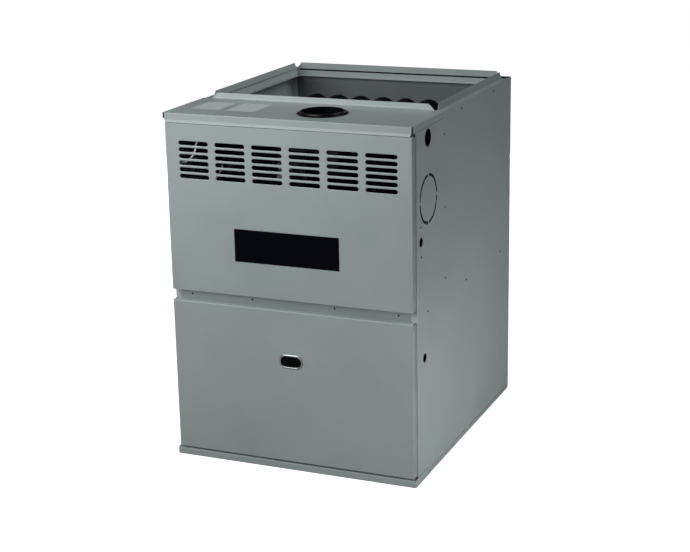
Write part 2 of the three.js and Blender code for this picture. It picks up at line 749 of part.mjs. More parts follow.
// One forward-curved blade of a blower wheel, drawn across the shaft.
function bladeOutline(inner, outer, sweepDegrees, thickness, turn) {
  const lean = THREE.MathUtils.degToRad(sweepDegrees);
  const edge = (k, offset) => {
    const radius = inner + ((outer - inner) * k) / 2;
    const angle = turn + lean * (k / 2) ** 2 + offset / radius;
    return [radius * Math.cos(angle), radius * Math.sin(angle)];
  };
  return outline([
    edge(0, 0), edge(1, 0), edge(2, 0), edge(2, thickness), edge(1, thickness), edge(0, thickness),
  ]);
}

// A revolved solid; each profile point is [radius, distance along the axis].
function turned(axis, centre, profile, segments) {
  const points = profile.map(([radius, along]) => new THREE.Vector2(radius, along));
  const area = points.reduce((sum, point, i) => sum + point.cross(points[(i + 1) % points.length]), 0);
  if (area < 0) points.reverse();
  const lathe = new THREE.LatheGeometry(points, segments);
  if (axis === 'x') return lathe.rotateZ(-Math.PI / 2).translate(0, centre[0], centre[1]);
  if (axis === 'z') return lathe.rotateX(Math.PI / 2).translate(centre[0], centre[1], 0);
  return lathe.translate(centre[0], 0, centre[1]);
}

// ---------------------------------------------------------------- vent and inducer

const inducerCutoff = 80;
const outletLeft = inducerThroatRadius * Math.cos(THREE.MathUtils.degToRad(inducerCutoff));
const inducerX = ventX - (outletLeft + inducerOutletRadius) / 2;
const inducerFront = inducerY - inducerDepth / 2;
const inducerBack = inducerY + inducerDepth / 2;
const adapterPlate = 2;
const wheelDiscY = inducerFront + inducerWall + 4;
const motorFront = 16;
const fanFront = 4.5;
const fanBack = motorFront - 3;

function inducerHousing() {
  const spiral = (inset, top) => scroll(inducerX, inducerHeight, inducerThroatRadius,
    inducerOutletRadius, inducerCutoff, top, inset);
  const shell = alongY(spiral(0, inducerOutletTop), inducerFront, inducerBack);
  const hollow = alongY(spiral(inducerWall, inducerOutletTop + 1),
    inducerFront + inducerWall, inducerBack - inducerWall);
  const eye = bar('y', [inducerX, inducerHeight], inducerEyeRadius, inducerY, inducerBack + 1, 20);
  const shaftHole = bar('y', [inducerX, inducerHeight], inducerShaftRadius + 3,
    inducerFront - 1, inducerY, 12);
  return cut(shell, hollow, eye, shaftHole);
}

// The duct above the scroll: a flange, a blend from the scroll's oblong outlet to the round
// vent, and the collar that passes the top plate.
function ventAdapter() {
  const halfX = (inducerOutletRadius - outletLeft) / 2;
  const halfY = inducerDepth / 2;
  const ring = (z, y, a, b, squareness) => Array.from({ length: 24 }, (_, i) => {
    const angle = (2 * Math.PI * (i + 0.5)) / 24;
    const [c, s] = [Math.cos(angle), Math.sin(angle)];
    return new THREE.Vector3(ventX + a * Math.sign(c) * Math.abs(c) ** squareness,
      y + b * Math.sign(s) * Math.abs(s) ** squareness, z);
  });
  const base = inducerOutletTop + seat;
  const blendTop = cabinetHeight - 30;
  const tube = (inset, reach) => loft([
    ring(base - reach, inducerY, halfX - inset, halfY - inset, 0.35),
    ring(base + adapterPlate, inducerY, halfX - inset, halfY - inset, 0.35),
    ring(blendTop, ventY, ventRadius - inset, ventRadius - inset, 1),
    ring(collarTop + reach, ventY, ventRadius - inset, ventRadius - inset, 1),
  ]);
  const flange = block([ventX - halfX - 7, ventX + halfX + 7], [inducerY - halfY - 7, inducerBack],
    [base, base + adapterPlate]);
  return cut(join(flange, tube(0, 0)), tube(ventWall, 1));
}

function ventGasket() {
  const inside = ventRadius + seat;
  const bottom = cabinetHeight + seat;
  const top = bottom + gasketThickness;
  return turned('z', [ventX, ventY], [
    [inside, bottom], [gasketRadius, bottom], [gasketRadius, top - 0.8], [gasketRadius - 0.8, top],
    [inside + gasketLipWidth, top], [inside + gasketLipWidth - 1, collarTop - 0.6],
    [inside, collarTop - 0.6], [inside, bottom],
  ], 28);
}

// Shaded-pole motor: a laminated core with its coil below the shaft, a bridge at each end that
// holds a bearing, and four posts to the scroll.
function inducerMotor() {
  const [x, z] = [inducerX, inducerHeight];
  const back = inducerFront - seat;
  const core = block([x - 34, x + 34], [24, 45], [z - 52, z + 36]);
  const coil = bar('x', [(24 + 45) / 2, z - 40], 16.5, x - 21, x + 21, 16);
  const bridge = (y0, y1) => block([x - 34, x + 34], [y0, y1], [z - 8, z + 8]);
  const leg = (side, y0, y1) => block([x + side * 30 - 4, x + side * 30 + 4], [y0, y1], [z - 8, z + 8]);
  const posts = [-1, 1].flatMap((side) => [-1, 1].map((end) =>
    bar('y', [x + side * 26, z + end * 26], 3.5, 44, back, 8)));
  const bosses = [bar('y', [x, z], 9, motorFront - 1, 25, 12), bar('y', [x, z], 9, 44, back - 2, 12)];
  const body = join(core, coil, bridge(motorFront, motorFront + 3), bridge(back - 6, back - 3),
    leg(-1, motorFront, 25), leg(1, motorFront, 25), leg(-1, 44, back - 3), leg(1, 44, back - 3),
    ...posts, ...bosses);
  return cut(body, bar('y', [x, z], inducerShaftRadius + seat, 0, inducerY, 12));
}

function inducerWheel() {
  const centre = [inducerX, inducerHeight];
  const ringY = wheelDiscY + inducerWheelDepth;
  const disc = bar('y', centre, inducerWheelRadius, wheelDiscY, wheelDiscY + 1.6, 24);
  const hub = bar('y', centre, 11, wheelDiscY, wheelDiscY + 18, 12);
  const shaft = bar('y', centre, inducerShaftRadius, fanFront - 1, wheelDiscY + 22, 12);
  const rim = alongY(polygonRing(inducerWheelRadius, 24, inducerWheelRadius - 8, 24),
    ringY - 1.6, ringY).translate(inducerX, 0, inducerHeight);
  const blades = Array.from({ length: inducerBlades }, (_, i) => bladeOutline(
    inducerWheelRadius - 14, inducerWheelRadius - 0.6, 18, 1.3, (2 * Math.PI * i) / inducerBlades));
  const cage = alongY(blades, wheelDiscY + 0.8, ringY - 0.8).translate(inducerX, 0, inducerHeight);
  return join(disc, hub, shaft, rim, cage);
}

function coolingFan() {
  const centre = [inducerX, inducerHeight];
  const middle = (fanFront + fanBack) / 2;
  const hub = bar('y', centre, 9, fanFront, fanBack, 14);
  const blades = Array.from({ length: coolingFanBlades }, (_, i) => {
    const blade = new THREE.BoxGeometry(coolingFanRadius - 7, 1.4, 13).rotateX(0.5);
    blade.translate((coolingFanRadius + 7) / 2, 0, 0).rotateY((2 * Math.PI * i) / coolingFanBlades);
    return blade.translate(inducerX, middle, inducerHeight);
  });
  return cut(join(hub, ...blades),
    bar('y', centre, inducerShaftRadius + seat / 2, fanFront - 2, fanBack + 2, 12));
}

// A drawn steel box that gathers the gas from the tubes' upper ends and feeds the inducer's eye.
const collectorFront = inducerBack + seat;
const collectorBack = vestibuleFront - seat;
const hosePort = { x: -150, z: inducerHeight + 16, radius: 2.6, reach: 11 };

function collectorBox() {
  const half = collectorWidth / 2;
  const box = block([-half, half], [collectorFront, collectorBack], [collectorBottom, collectorTop]);
  const flange = block([-half - 10, half + 10], [collectorBack - casingSheet, collectorBack],
    [collectorBottom - 10, collectorTop + 10]);
  const port = bar('y', [hosePort.x, hosePort.z], hosePort.radius, collectorFront - hosePort.reach,
    collectorFront + 0.5, 8);
  const hollow = block([-half + casingSheet, half - casingSheet],
    [collectorFront + casingSheet, collectorBack + 1],
    [collectorBottom + casingSheet, collectorTop - casingSheet]);
  const eye = bar('y', [inducerX, inducerHeight], inducerEyeRadius,
    collectorFront - 1, collectorFront + 2, 20);
  return cut(join(box, flange, port), hollow, eye);
}

// ---------------------------------------------------------------- heat exchanger

const vestibuleBack = vestibuleFront + casingSheet;
const tubeHoleRadius = tubeRadius - 3.4;

function vestibulePanel() {
  const plan = bentSheet([
    [-innerHalf, vestibuleFront + vestibuleFold], [-innerHalf, vestibuleFront],
    [innerHalf, vestibuleFront], [innerHalf, vestibuleFront + vestibuleFold],
  ], casingSheet);
  const bottom = deckHeight + seat;
  const wall = alongZ(plan, bottom, wallTop - casingSheet - seat);
  const half = ductHalf - 1;
  const topFlange = block([-half, half], [vestibuleFront - vestibuleFold, vestibuleBack],
    [wallTop - casingSheet, wallTop]);
  const topEdge = block([-half, half], [vestibuleFront, vestibuleBack],
    [wallTop - 4, wallTop - casingSheet / 2]);
  const footFlange = block([-innerHalf + 12, innerHalf - 12],
    [vestibuleFront - vestibuleFold, vestibuleBack], [bottom, bottom + casingSheet]);
  const holes = Array.from({ length: tubeCount }, (_, i) => [tubeBottomPass, tubeTopPass].map((height) =>
    bar('y', [tubeX(i), height], tubeHoleRadius, vestibuleFront - 5, vestibuleBack + 5, 12))).flat();
  return cut(join(wall, topFlange, topEdge, footFlange), ...holes);
}

// Four level passes joined by three half-circle bends, both ends at the vestibule panel.
function heatExchangerTube(index) {
  const x = tubeX(index);
  const bend = tubePassRise / 2;
  const steps = 4;
  const stations = [];
  const station = (y, z, dy, dz) => stations.push({
    point: new THREE.Vector3(x, y, z), direction: new THREE.Vector3(0, dy, dz),
  });
  station(vestibuleBack + seat, tubeBottomPass, 1, 0);
  for (let turn = 0; turn < 3; turn += 1) {
    const facing = turn % 2 === 0 ? 1 : -1;
    const y = facing > 0 ? tubeRearBend : tubeFrontBend;
    const z = tubeBottomPass + bend + turn * tubePassRise;
    for (let k = 0; k <= steps; k += 1) {
      const angle = -Math.PI / 2 + (Math.PI * k) / steps;
      const [c, s] = [Math.cos(angle), Math.sin(angle)];
      station(y + facing * bend * c, z + bend * s, -facing * s, c);
    }
  }
  station(vestibuleBack + seat, tubeTopPass, -1, 0);
  return sweep(polygonRing(tubeRadius, 10, tubeRadius - tubeWall, 6), stations, 4);
}

// ---------------------------------------------------------------- burners and gas train

const throatY = burnerFront + 0.24 * burnerLength;
const flameY = burnerBack + 3;   // where the igniter and the sensor cross the flames

function burner(index) {
  const wallLine = [
    [burnerBellRadius, burnerFront], [burnerBellRadius - 0.5, burnerFront + 2],
    [burnerThroatRadius + 2, throatY - 10], [burnerThroatRadius, throatY - 4],
    [burnerThroatRadius, throatY + 4], [burnerHeadRadius - 4, burnerBack - 26],
    [burnerHeadRadius, burnerBack - 18], [burnerHeadRadius, burnerBack],
  ];
  const last = wallLine.length - 1;
  const solid = [[0, burnerFront], ...wallLine, [0, burnerBack]];
  const bore = [[0, burnerFront - 1], ...wallLine.map(([radius, y], i) =>
    [radius - burnerWall, i === 0 ? y - 1 : i === last ? y + 1 : y]), [0, burnerBack + 1]];
  const reach = tubePitch / 2 - seat / 2;
  const ears = block([-reach, reach], [burnerBack - 13, burnerBack - 4], [-4, 4]);
  const body = cut(join(turned('y', [0, 0], solid, 10), ears), turned('y', [0, 0], bore, 10));
  return body.translate(tubeX(index), 0, tubeBottomPass);
}

// A tray on the vestibule panel. Its comb holds the burners' throats, its ends carry the
// igniter, the flame sensor, the roll-out switches and the manifold.
const rolloutY = 130;
const rolloutHeight = tubeBottomPass + 45;

function burnerRack() {
  const back = vestibuleFront - seat;
  const front = throatY - 9;
  const floor = block([-rackHalf, rackHalf], [front, back], [rackFloor, rackFloor + casingSheet]);
  const backFlange = block([-rackHalf, rackHalf], [back - casingSheet, back],
    [rackFloor, tubeBottomPass - tubeHoleRadius]);
  const comb = block([-rackHalf, rackHalf], [throatY - 0.5, throatY + 0.5],
    [rackFloor, tubeBottomPass + rackWallRise]);
  const end = alongX(outline([
    [front, rackFloor], [back, rackFloor], [back, tubeBottomPass + rackWallRise],
    [rolloutY + 14, rolloutHeight + 14], [rolloutY - 14, rolloutHeight + 14],
    [front, tubeBottomPass + rackWallRise],
  ]), rackHalf - casingSheet, rackHalf);
  const arm = block([rackHalf - casingSheet, rackHalf], [manifoldY - manifoldRadius - 6, front + 1],
    [rackFloor, tubeBottomPass + 4]);
  const notches = Array.from({ length: tubeCount }, (_, i) => {
    const radius = burnerThroatRadius + seat;
    const round = bar('y', [tubeX(i), tubeBottomPass], radius, throatY - 5, throatY + 5, 10);
    const open = block([tubeX(i) - radius, tubeX(i) + radius], [throatY - 5, throatY + 5],
      [tubeBottomPass, tubeBottomPass + rackWallRise + 5]);
    return join(round, open);
  });
  const saddle = join(
    bar('x', [manifoldY, tubeBottomPass], manifoldRadius + seat, -rackHalf - 5, rackHalf + 5, 16),
    block([-rackHalf - 5, rackHalf + 5],
      [manifoldY - manifoldRadius - seat, manifoldY + manifoldRadius + seat],
      [tubeBottomPass, tubeBottomPass + 20]));
  const flameHole = bar('x', [flameY, tubeBottomPass], 4, -rackHalf - 5, rackHalf + 5, 8);
  const tray = join(floor, backFlange, comb, end, mirrorX(end), arm, mirrorX(arm));
  return cut(tray, ...notches, saddle, flameHole);
}

const valveRight = -rackHalf - 12;
const valveMiddle = valveRight - valveWidth / 2;
const valveTop = tubeBottomPass + valveHeight / 2;
const valveFront = manifoldY - valveDepth / 2;
const leverX = valveMiddle + 16;
const leverHeight = tubeBottomPass + 24;

// A pipe with one spud for each burner.
function gasManifold() {
  const pipe = bar('x', [manifoldY, tubeBottomPass], manifoldRadius, valveRight + seat, rackHalf + 9, 16);
  const spuds = Array.from({ length: tubeCount }, (_, i) =>
    bar('y', [tubeX(i), tubeBottomPass], orificeRadius, manifoldY, burnerFront - orificeGap, 6));
  return join(pipe, ...spuds);
}

function gasValve() {
  const half = valveWidth / 2;
  const chamfer = 10;
  const body = alongY(outline([
    [valveMiddle - half, tubeBottomPass - valveHeight / 2 + chamfer],
    [valveMiddle - half + chamfer, tubeBottomPass - valveHeight / 2],
    [valveRight - 4, tubeBottomPass - valveHeight / 2], [valveRight, tubeBottomPass - valveHeight / 2 + 4],
    [valveRight, valveTop - chamfer], [valveRight - chamfer, valveTop],
    [valveMiddle - half + 4, valveTop], [valveMiddle - half, valveTop - 4],
  ]), valveFront, valveFront + valveDepth);
  const inlet = bar('z', [valveMiddle, manifoldY], gasInletRadius + 6.5, valveTop - 2, valveTop + 10, 8);
  const regulator = bar('y', [valveMiddle - 14, tubeBottomPass - 14], 13, valveFront - 7, valveFront + 1, 16);
  const coil = bar('y', [valveMiddle + 18, tubeBottomPass - 22], 10, valveFront - 8, valveFront + 1, 14);
  const socket = bar('z', [valveMiddle, manifoldY], gasInletRadius, valveTop - 12, valveTop + 12, 16);
  const leverBore = bar('y', [leverX, leverHeight], 3 + seat, valveFront - 1, valveFront + 7, 12);
  return cut(join(body, inlet, regulator, coil), socket, leverBore);
}

function gasValveLever() {
  const centre = [leverX, leverHeight];
  const knob = bar('y', centre, valveLeverRadius, valveFront - seat - 6, valveFront - seat, 16);
  const grip = block([leverX - 2.4, leverX + 2.4], [valveFront - 11, valveFront - 5],
    [leverHeight - valveLeverRadius + 1, leverHeight + valveLeverRadius + 3]);
  const stem = bar('y', centre, 3, valveFront - 1, valveFront + 6, 12);
  return join(knob, grip, stem);
}

function hotSurfaceIgniter() {
  const holder = block([rackHalf + seat, rackHalf + 23], [flameY - 6, vestibuleFront - 2 * seat],
    [tubeBottomPass - 7, tubeBottomPass + 7]);
  const element = block([tubeX(tubeCount - 1) - 10, rackHalf + 2], [flameY - 0.9, flameY + 0.9],
    [tubeBottomPass - 2.4, tubeBottomPass + 2.4]);
  return join(holder, element);
}

function flameSensor() {
  const centre = [flameY, tubeBottomPass];
  return join(bar('x', centre, 5.4, -rackHalf - 26, -rackHalf - seat, 12),
    bar('x', centre, 1.6, -rackHalf - 4, tubeX(0) + 8, 8));
}

const rolloutFace = rackHalf + seat + rolloutLength;

function rolloutSwitch() {
  const centre = [rolloutY, rolloutHeight];
  const body = bar('x', centre, rolloutRadius, rackHalf + seat, rolloutFace, 14);
  return cut(body, bar('x', centre, resetRadius + seat, rolloutFace - 7, rolloutFace + 1, 10));
}

function resetButton() {
  return bar('x', [rolloutY, rolloutHeight], resetRadius, rolloutFace - 7 + resetTravel + seat,
    rolloutFace + 3, 10);
}

const pressureFront = vestibuleFront - seat - pressureDepth;
const pressurePortReach = 10;

function pressureSwitch() {
  const back = vestibuleFront - seat;
  const centre = [pressureX, pressureHeight];
  return join(bar('y', centre, pressureRadius, back - 0.6 * pressureDepth, back, 20),
    bar('y', centre, 0.7 * pressureRadius, pressureFront, back - 2, 16),
    bar('y', [pressureX, pressureHeight + 12], hosePort.radius,
      pressureFront - pressurePortReach, pressureFront + 1, 8),
    block([pressureX - 8, pressureX + 8], [pressureFront - 7, pressureFront + 1],
      [pressureHeight - 14, pressureHeight - 8]));
}

// White silicone hose: out of the switch, up behind the louvres and down to the collector box.
function pressureHose() {
  const loop = [
    [-3, -83, -10], [0, -103, 12], [16, -111, 38], [40, -111, 54], [66, -103, 46], [84, -95, 28],
  ].map(([x, y, z]) => [pressureX + x, vestibuleFront + y, inducerHeight + z]);
  const route = new THREE.CatmullRomCurve3([
    [pressureX, pressureFront - pressurePortReach - seat, pressureHeight + 12],
    [pressureX, pressureFront - 28.7, pressureHeight + 12], ...loop,
    [hosePort.x, collectorFront - hosePort.reach - 12.3, hosePort.z],
    [hosePort.x, collectorFront - hosePort.reach - seat, hosePort.z],
  ].map(([x, y, z]) => new THREE.Vector3(x, y, z)));
  return new THREE.ExtrudeGeometry(polygonRing(hoseRadius, 7), {
    steps: 22, extrudePath: route, curveSegments: 4,
  });
}

// Where the supply cable is joined: its hole lines up with the one in the side panel.
function junctionBox() {
  const [x0, x1] = [innerHalf - 44, innerHalf];
  const [y0, y1] = [powerHoleY - 21, powerHoleY + 27];
  const [z0, z1] = [powerHoleHeight - 45, powerHoleHeight + 45];
  const box = block([x0, x1], [y0, y1], [z0, z1]);
  const hollow = block([x0 + 1, x1 - 1], [y0 + 1, y1 - 1], [z0 + 1, z1 - 1]);
  const entry = bar('x', [powerHoleY, powerHoleHeight], wiringHoleRadius, x1 - 5, x1 + 5, 16);
  return cut(box, hollow, entry);
}

// ---------------------------------------------------------------- blower

const blowerTop = deckHeight - casingSheet - seat;
const blowerCentre = [blowerY, blowerHeight];

// A scroll of sheet hung under the deck by its outlet flange, open at both sides for the air.
function blowerHousing() {
  const spiral = (inset, top) => scroll(blowerY, blowerHeight, blowerScrollStart, blowerScrollEnd,
    blowerCutoffAngle, top, inset);
  const half = blowerWidth / 2;
  const shell = alongX(spiral(0, blowerTop), -half, half);
  const flange = block([-half - blowerFlange, half + blowerFlange],
    [blowerThroatFront - blowerFlange, blowerThroatBack + blowerFlange],
    [blowerTop - casingSheet, blowerTop]);
  const hollow = alongX(spiral(casingSheet, blowerTop + 5), -half + casingSheet, half - casingSheet);
  const inlets = bar('x', blowerCentre, blowerInletRadius, -half - 5, half + 5, 28);
  return cut(join(shell, flange), hollow, inlets);
}

// Squirrel-cage wheel: two end rings, a centre plate on a hub, and forward-curved blades.
function blowerWheel() {
  const half = blowerWheelWidth / 2;
  const inner = blowerWheelRadius - blowerBladeDepth;
  const at = (geometry) => geometry.translate(0, blowerY, blowerHeight);
  const ring = (x0, x1) => at(alongX(polygonRing(blowerWheelRadius, 32, inner, 24), x0, x1));
  const plate = at(alongX(polygonRing(inner + 4, 32), -1.2, 1.2));
  const blades = Array.from({ length: blowerBlades }, (_, i) => bladeOutline(
    inner + 1.5, blowerWheelRadius - 1, 9, 1.4, (2 * Math.PI * i) / blowerBlades));
  const cage = at(alongX(blades, -half + 1.5, half - 1.5));
  const hub = bar('x', blowerCentre, 20, -14, 18, 14);
  const shaft = bar('x', blowerCentre, blowerShaftRadius, -blowerWidth / 2, 24, 14);
  return join(ring(-half, -half + 3), ring(half - 3, half), plate, cage, hub, shaft);
}

const blowerMotorLeft = -blowerWidth / 2 - blowerMotorOut;

function blowerMotor() {
  const [x0, x1] = [blowerMotorLeft, blowerMotorLeft + blowerMotorLength];
  const [r, shoulder] = [blowerMotorRadius, 9];
  const shell = turned('x', blowerCentre, [
    [0, x0], [r - 2 * shoulder, x0], [r - 2, x0 + shoulder], [r, x0 + shoulder + 2],
    [r, x1 - shoulder - 2], [r - 2, x1 - shoulder], [r - 2 * shoulder, x1],
    [22, x1], [20, x1 + 4], [0, x1 + 4],
  ], 24);
  return cut(shell, bar('x', blowerCentre, blowerShaftRadius + seat, -blowerWidth / 2 - 4, x1 + 5, 14));
}

// A band clamped round the motor, with arms to the edge of the housing's inlet.
function motorMount() {
  const [x0, x1] = [-blowerWidth / 2 - 12 - mountBand, -blowerWidth / 2 - 12];
  const bandInside = (blowerMotorRadius + seat) / Math.cos(Math.PI / 24);
  const band = alongX(polygonRing(bandInside + 2.5, 24, bandInside, 24), x0, x1)
    .translate(0, blowerY, blowerHeight);
  const reach = blowerInletRadius + 14;
  const arms = Array.from({ length: mountArms }, (_, i) => {
    const arm = join(block([x1 - 10, x1], [bandInside + 1.5, reach], [-5, 5]),
      block([x1 - 10, -blowerWidth / 2 - seat], [blowerInletRadius + 5, reach], [-7, 7]));
    return arm.rotateX(-Math.PI / 2 + (2 * Math.PI * i) / mountArms).translate(0, blowerY, blowerHeight);
  });
  return join(band, ...arms);
}

// ---------------------------------------------------------------- controls

const panelTop = blowerTop;
const panelBottom = panelTop - panelDrop;
const panelFace = panelY - seat;
const boardLeft = panelLeft + 8;
const boardTop = panelTop - 14;

function controlPanel() {
  return alongX(bentSheet([
    [panelY - 16, panelTop], [panelY + casingSheet, panelTop], [panelY + casingSheet, panelBottom],
    [panelY - 10, panelBottom],
  ], -casingSheet, 2), panelLeft, panelRight);
}

function controlBoard() {
  const [x0, x1] = [boardLeft, boardLeft + boardWidth];
  const [z0, z1] = [boardTop - boardHeight, boardTop];
  const [y0, y1] = [panelFace - 10, panelFace - 8.4];
  const board = block([x0, x1], [y0, y1], [z0, z1]);
  const posts = [x0 + 8, x1 - 8].flatMap((x) => [z0 + 8, z1 - 8].map((z) =>
    bar('y', [x, z], 3, y1 - 0.5, panelFace, 8)));
  const relays = [0, 1, 2, 3].map((i) =>
    block([x0 + 18 + i * 27, x0 + 38 + i * 27], [y0 - 16, y0 + 0.5], [z1 - 40, z1 - 18]));
  const header = block([x0 + 20, x0 + 92], [y0 - 9, y0 + 0.5], [z0 + 10, z0 + 22]);
  const plug = block([x1 - 44, x1 - 22], [y0 - 13, y0 + 0.5], [z0 + 16, z0 + 46]);
  const fuse = block([x0 + 122, x0 + 130], [y0 - 12, y0 + 0.5], [z1 - 42, z1 - 24]);
  return join(board, ...posts, ...relays, header, plug, fuse);
}

function transformer() {
  const x0 = boardLeft + boardWidth + 14;
  const x1 = x0 + transformerWidth;
  const z0 = panelTop - 76;
  const core = block([x0, x1], [panelFace - 46, panelFace - 14], [z0, z0 + 46]);
  const coil = block([x0 + 9, x1 - 9], [panelFace - 56, panelFace - 3], [z0 + 9, z0 + 37]);
  const foot = block([x0 - 6, x1 + 6], [panelFace - 2, panelFace], [z0 + 3, z0 + 43]);
  return join(core, coil, foot, block([x0 + 2, x1 - 2], [panelFace - 15, panelFace - 1], [z0 + 6, z0 + 12]));
}

function runCapacitor() {
  const [x0, x1] = [panelRight - 60, panelRight - 12];
  const radius = 14;
  const shape = stadium((x0 + x1) / 2, panelFace - radius, x1 - x0, 2 * radius);
  const top = panelTop - 30;
  return join(alongZ(shape, top - 74, top, 5),
    block([x0 + 14, x0 + 20], [panelFace - radius - 3, panelFace - radius + 3], [top - 1, top + 9]),
    block([x1 - 20, x1 - 14], [panelFace - radius - 3, panelFace - radius + 3], [top - 1, top + 9]));
}

const switchTop = middleRailBottom - seat;
const plungerHeight = switchTop - switchHeight / 2;
const switchFront = 4;
const plungerLength = 12;

function doorSwitch() {
  const body = block([switchX - switchWidth / 2, switchX + switchWidth / 2],
    [switchFront, switchFront + switchDepth], [switchTop - switchHeight, switchTop]);
  const tabs = [-7, 7].map((x) => block([switchX + x - 3, switchX + x + 3],
    [switchFront + switchDepth - 1, switchFront + switchDepth + 8], [plungerHeight - 1, plungerHeight + 1]));
  const bore = bar('y', [switchX, plungerHeight], plungerRadius + seat, switchFront - 1,
    plungerLength + plungerTravel + seat, 12);
  return cut(join(body, ...tabs), bore);
}

function doorSwitchPlunger() {
  return bar('y', [switchX, plungerHeight], plungerRadius, 0, plungerLength, 12);
}

// ---------------------------------------------------------------- the furnace

add('right_side_panel', sidePanel(), paint);
add('left_side_panel', mirrorX(sidePanel()), paint);
add('rear_panel', rearPanel(), paint);
add('bottom_panel', bottomPanel(), paint);
add('bottom_front_rail', bottomFrontRail(), paint);
add('middle_rail', middleRail(), paint);
add('top_plate', topPlate(), paint);
add('duct_flange_right', ductFlangeSide(), paint);
add('duct_flange_left', mirrorX(ductFlangeSide()), paint);
add('duct_flange_rear', ductFlangeRear(), paint);
add('vestibule_panel', vestibulePanel(), galvanised);
add('blower_deck', blowerDeck(), galvanised);
add('upper_door', upperDoor(), paint);
add('nameplate', nameplate(), blackPlastic);
add('lower_door', lowerDoor(), paint);
add('sight_window_bezel', windowBezel(), paint);
add('sight_window_glass', windowGlass(), smokedGlass);
add('vent_adapter', ventAdapter(), blackPaint);
add('vent_gasket', ventGasket(), rubber);
add('inducer_housing', inducerHousing(), blackPaint);
add('inducer_motor', inducerMotor(), galvanised);
add('inducer_wheel', inducerWheel(), galvanised);
add('inducer_cooling_fan', coolingFan(), blackPlastic);
add('collector_box', collectorBox(), aluminised);
for (let index = 0; index < tubeCount; index += 1) {
  add(`heat_exchanger_tube_${index + 1}`, heatExchangerTube(index), aluminised);
}
for (let index = 0; index < tubeCount; index += 1) {
  add(`burner_${index + 1}`, burner(index), aluminised);
}
add('burner_rack', burnerRack(), galvanised);
add('gas_manifold', gasManifold(), blackPaint);
add('gas_valve', gasValve(), castMetal);
add('gas_valve_lever', gasValveLever(), blackPlastic);
add('hot_surface_igniter', hotSurfaceIgniter(), ceramic);
add('flame_sensor', flameSensor(), ceramic);
add('rollout_switch_right', rolloutSwitch(), blackPlastic);
add('rollout_switch_left', mirrorX(rolloutSwitch()), blackPlastic);
add('reset_button_right', resetButton(), redPlastic);
add('reset_button_left', mirrorX(resetButton()), redPlastic);
add('pressure_switch', pressureSwitch(), blackPlastic);
add('pressure_hose', pressureHose(), whitePlastic);
add('junction_box', junctionBox(), galvanised);
add('blower_housing', blowerHousing(), galvanised);
add('blower_wheel', blowerWheel(), galvanised);
add('blower_motor', blowerMotor(), castMetal);
add('motor_mount', motorMount(), galvanised);
add('control_panel', controlPanel(), galvanised);
add('control_board', controlBoard(), boardGreen);
add('transformer', transformer(), blackPaint);
add('run_capacitor', runCapacitor(), castMetal);
add('door_switch', doorSwitch(), blackPlastic);
add('door_switch_plunger', doorSwitchPlunger(), whitePlastic);

export default furnace;
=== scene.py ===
import math

import bmesh
import bpy
from mathutils import Matrix, Vector


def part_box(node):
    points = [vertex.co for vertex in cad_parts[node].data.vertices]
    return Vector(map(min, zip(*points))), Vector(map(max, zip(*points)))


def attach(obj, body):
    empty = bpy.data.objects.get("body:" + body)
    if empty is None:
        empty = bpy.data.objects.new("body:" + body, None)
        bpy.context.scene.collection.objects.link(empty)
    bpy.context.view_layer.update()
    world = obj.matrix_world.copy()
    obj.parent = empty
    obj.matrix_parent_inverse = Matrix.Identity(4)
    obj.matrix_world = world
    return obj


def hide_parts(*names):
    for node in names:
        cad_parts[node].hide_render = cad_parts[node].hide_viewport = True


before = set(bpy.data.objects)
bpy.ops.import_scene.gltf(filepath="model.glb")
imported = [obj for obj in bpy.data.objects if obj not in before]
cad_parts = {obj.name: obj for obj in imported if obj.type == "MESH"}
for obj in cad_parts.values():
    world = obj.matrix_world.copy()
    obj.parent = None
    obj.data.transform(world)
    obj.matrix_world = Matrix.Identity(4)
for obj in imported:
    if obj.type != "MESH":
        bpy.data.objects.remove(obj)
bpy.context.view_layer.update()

# ------------------------------------------------------------------ view and light
# The furnace stands on a white floor, seen from its front right corner and a little above.
# Broad soft lights stand at the front left, the left, the high right and behind; weak ones fill
# the low front, the top and the right foot. The white room gives next to no light.

view_turn, view_drop, view_roll = map(math.radians, (23.054, 16.205, -1.111))
forward = Vector((-math.sin(view_turn) * math.cos(view_drop),
                  math.cos(view_turn) * math.cos(view_drop), -math.sin(view_drop)))
level_right = Vector((math.cos(view_turn), math.sin(view_turn), 0))
level_up = level_right.cross(forward)
right = level_right * math.cos(view_roll) + level_up * math.sin(view_roll)
up = level_up * math.cos(view_roll) - level_right * math.sin(view_roll)
lens = bpy.data.cameras.new("product_camera")
lens.sensor_width = 36
lens.lens = 82.543
camera = bpy.data.objects.new("product_camera", lens)
camera_place = (1.50064, -3.55352, 1.50774)
camera.matrix_world = Matrix.Translation(camera_place) @ Matrix((right, up, -forward)).transposed().to_4x4()
bpy.context.scene.collection.objects.link(camera)
bpy.context.scene.camera = camera
bpy.context.scene.view_settings.view_transform = "Standard"


def add_node(tree, kind, inputs=None, **settings):
    """One shader node: settings are its own fields, inputs are numbers, colours or sockets."""
    new = tree.nodes.new(kind)
    for field, value in settings.items():
        setattr(new, field, value)
    for socket, value in (inputs or {}).items():
        if isinstance(value, bpy.types.NodeSocket):
            tree.links.new(value, new.inputs[socket])
        else:
            new.inputs[socket].default_value = value
    return new


def linear(hex_colour):
    """An sRGB colour written as six hex digits, as linear red, green, blue and alpha."""
    parts = [int(hex_colour[i:i + 2], 16) / 255 for i in (0, 2, 4)]
    return [c / 12.92 if c <= 0.04045 else ((c + 0.055) / 1.055) ** 2.4 for c in parts] + [1.0]


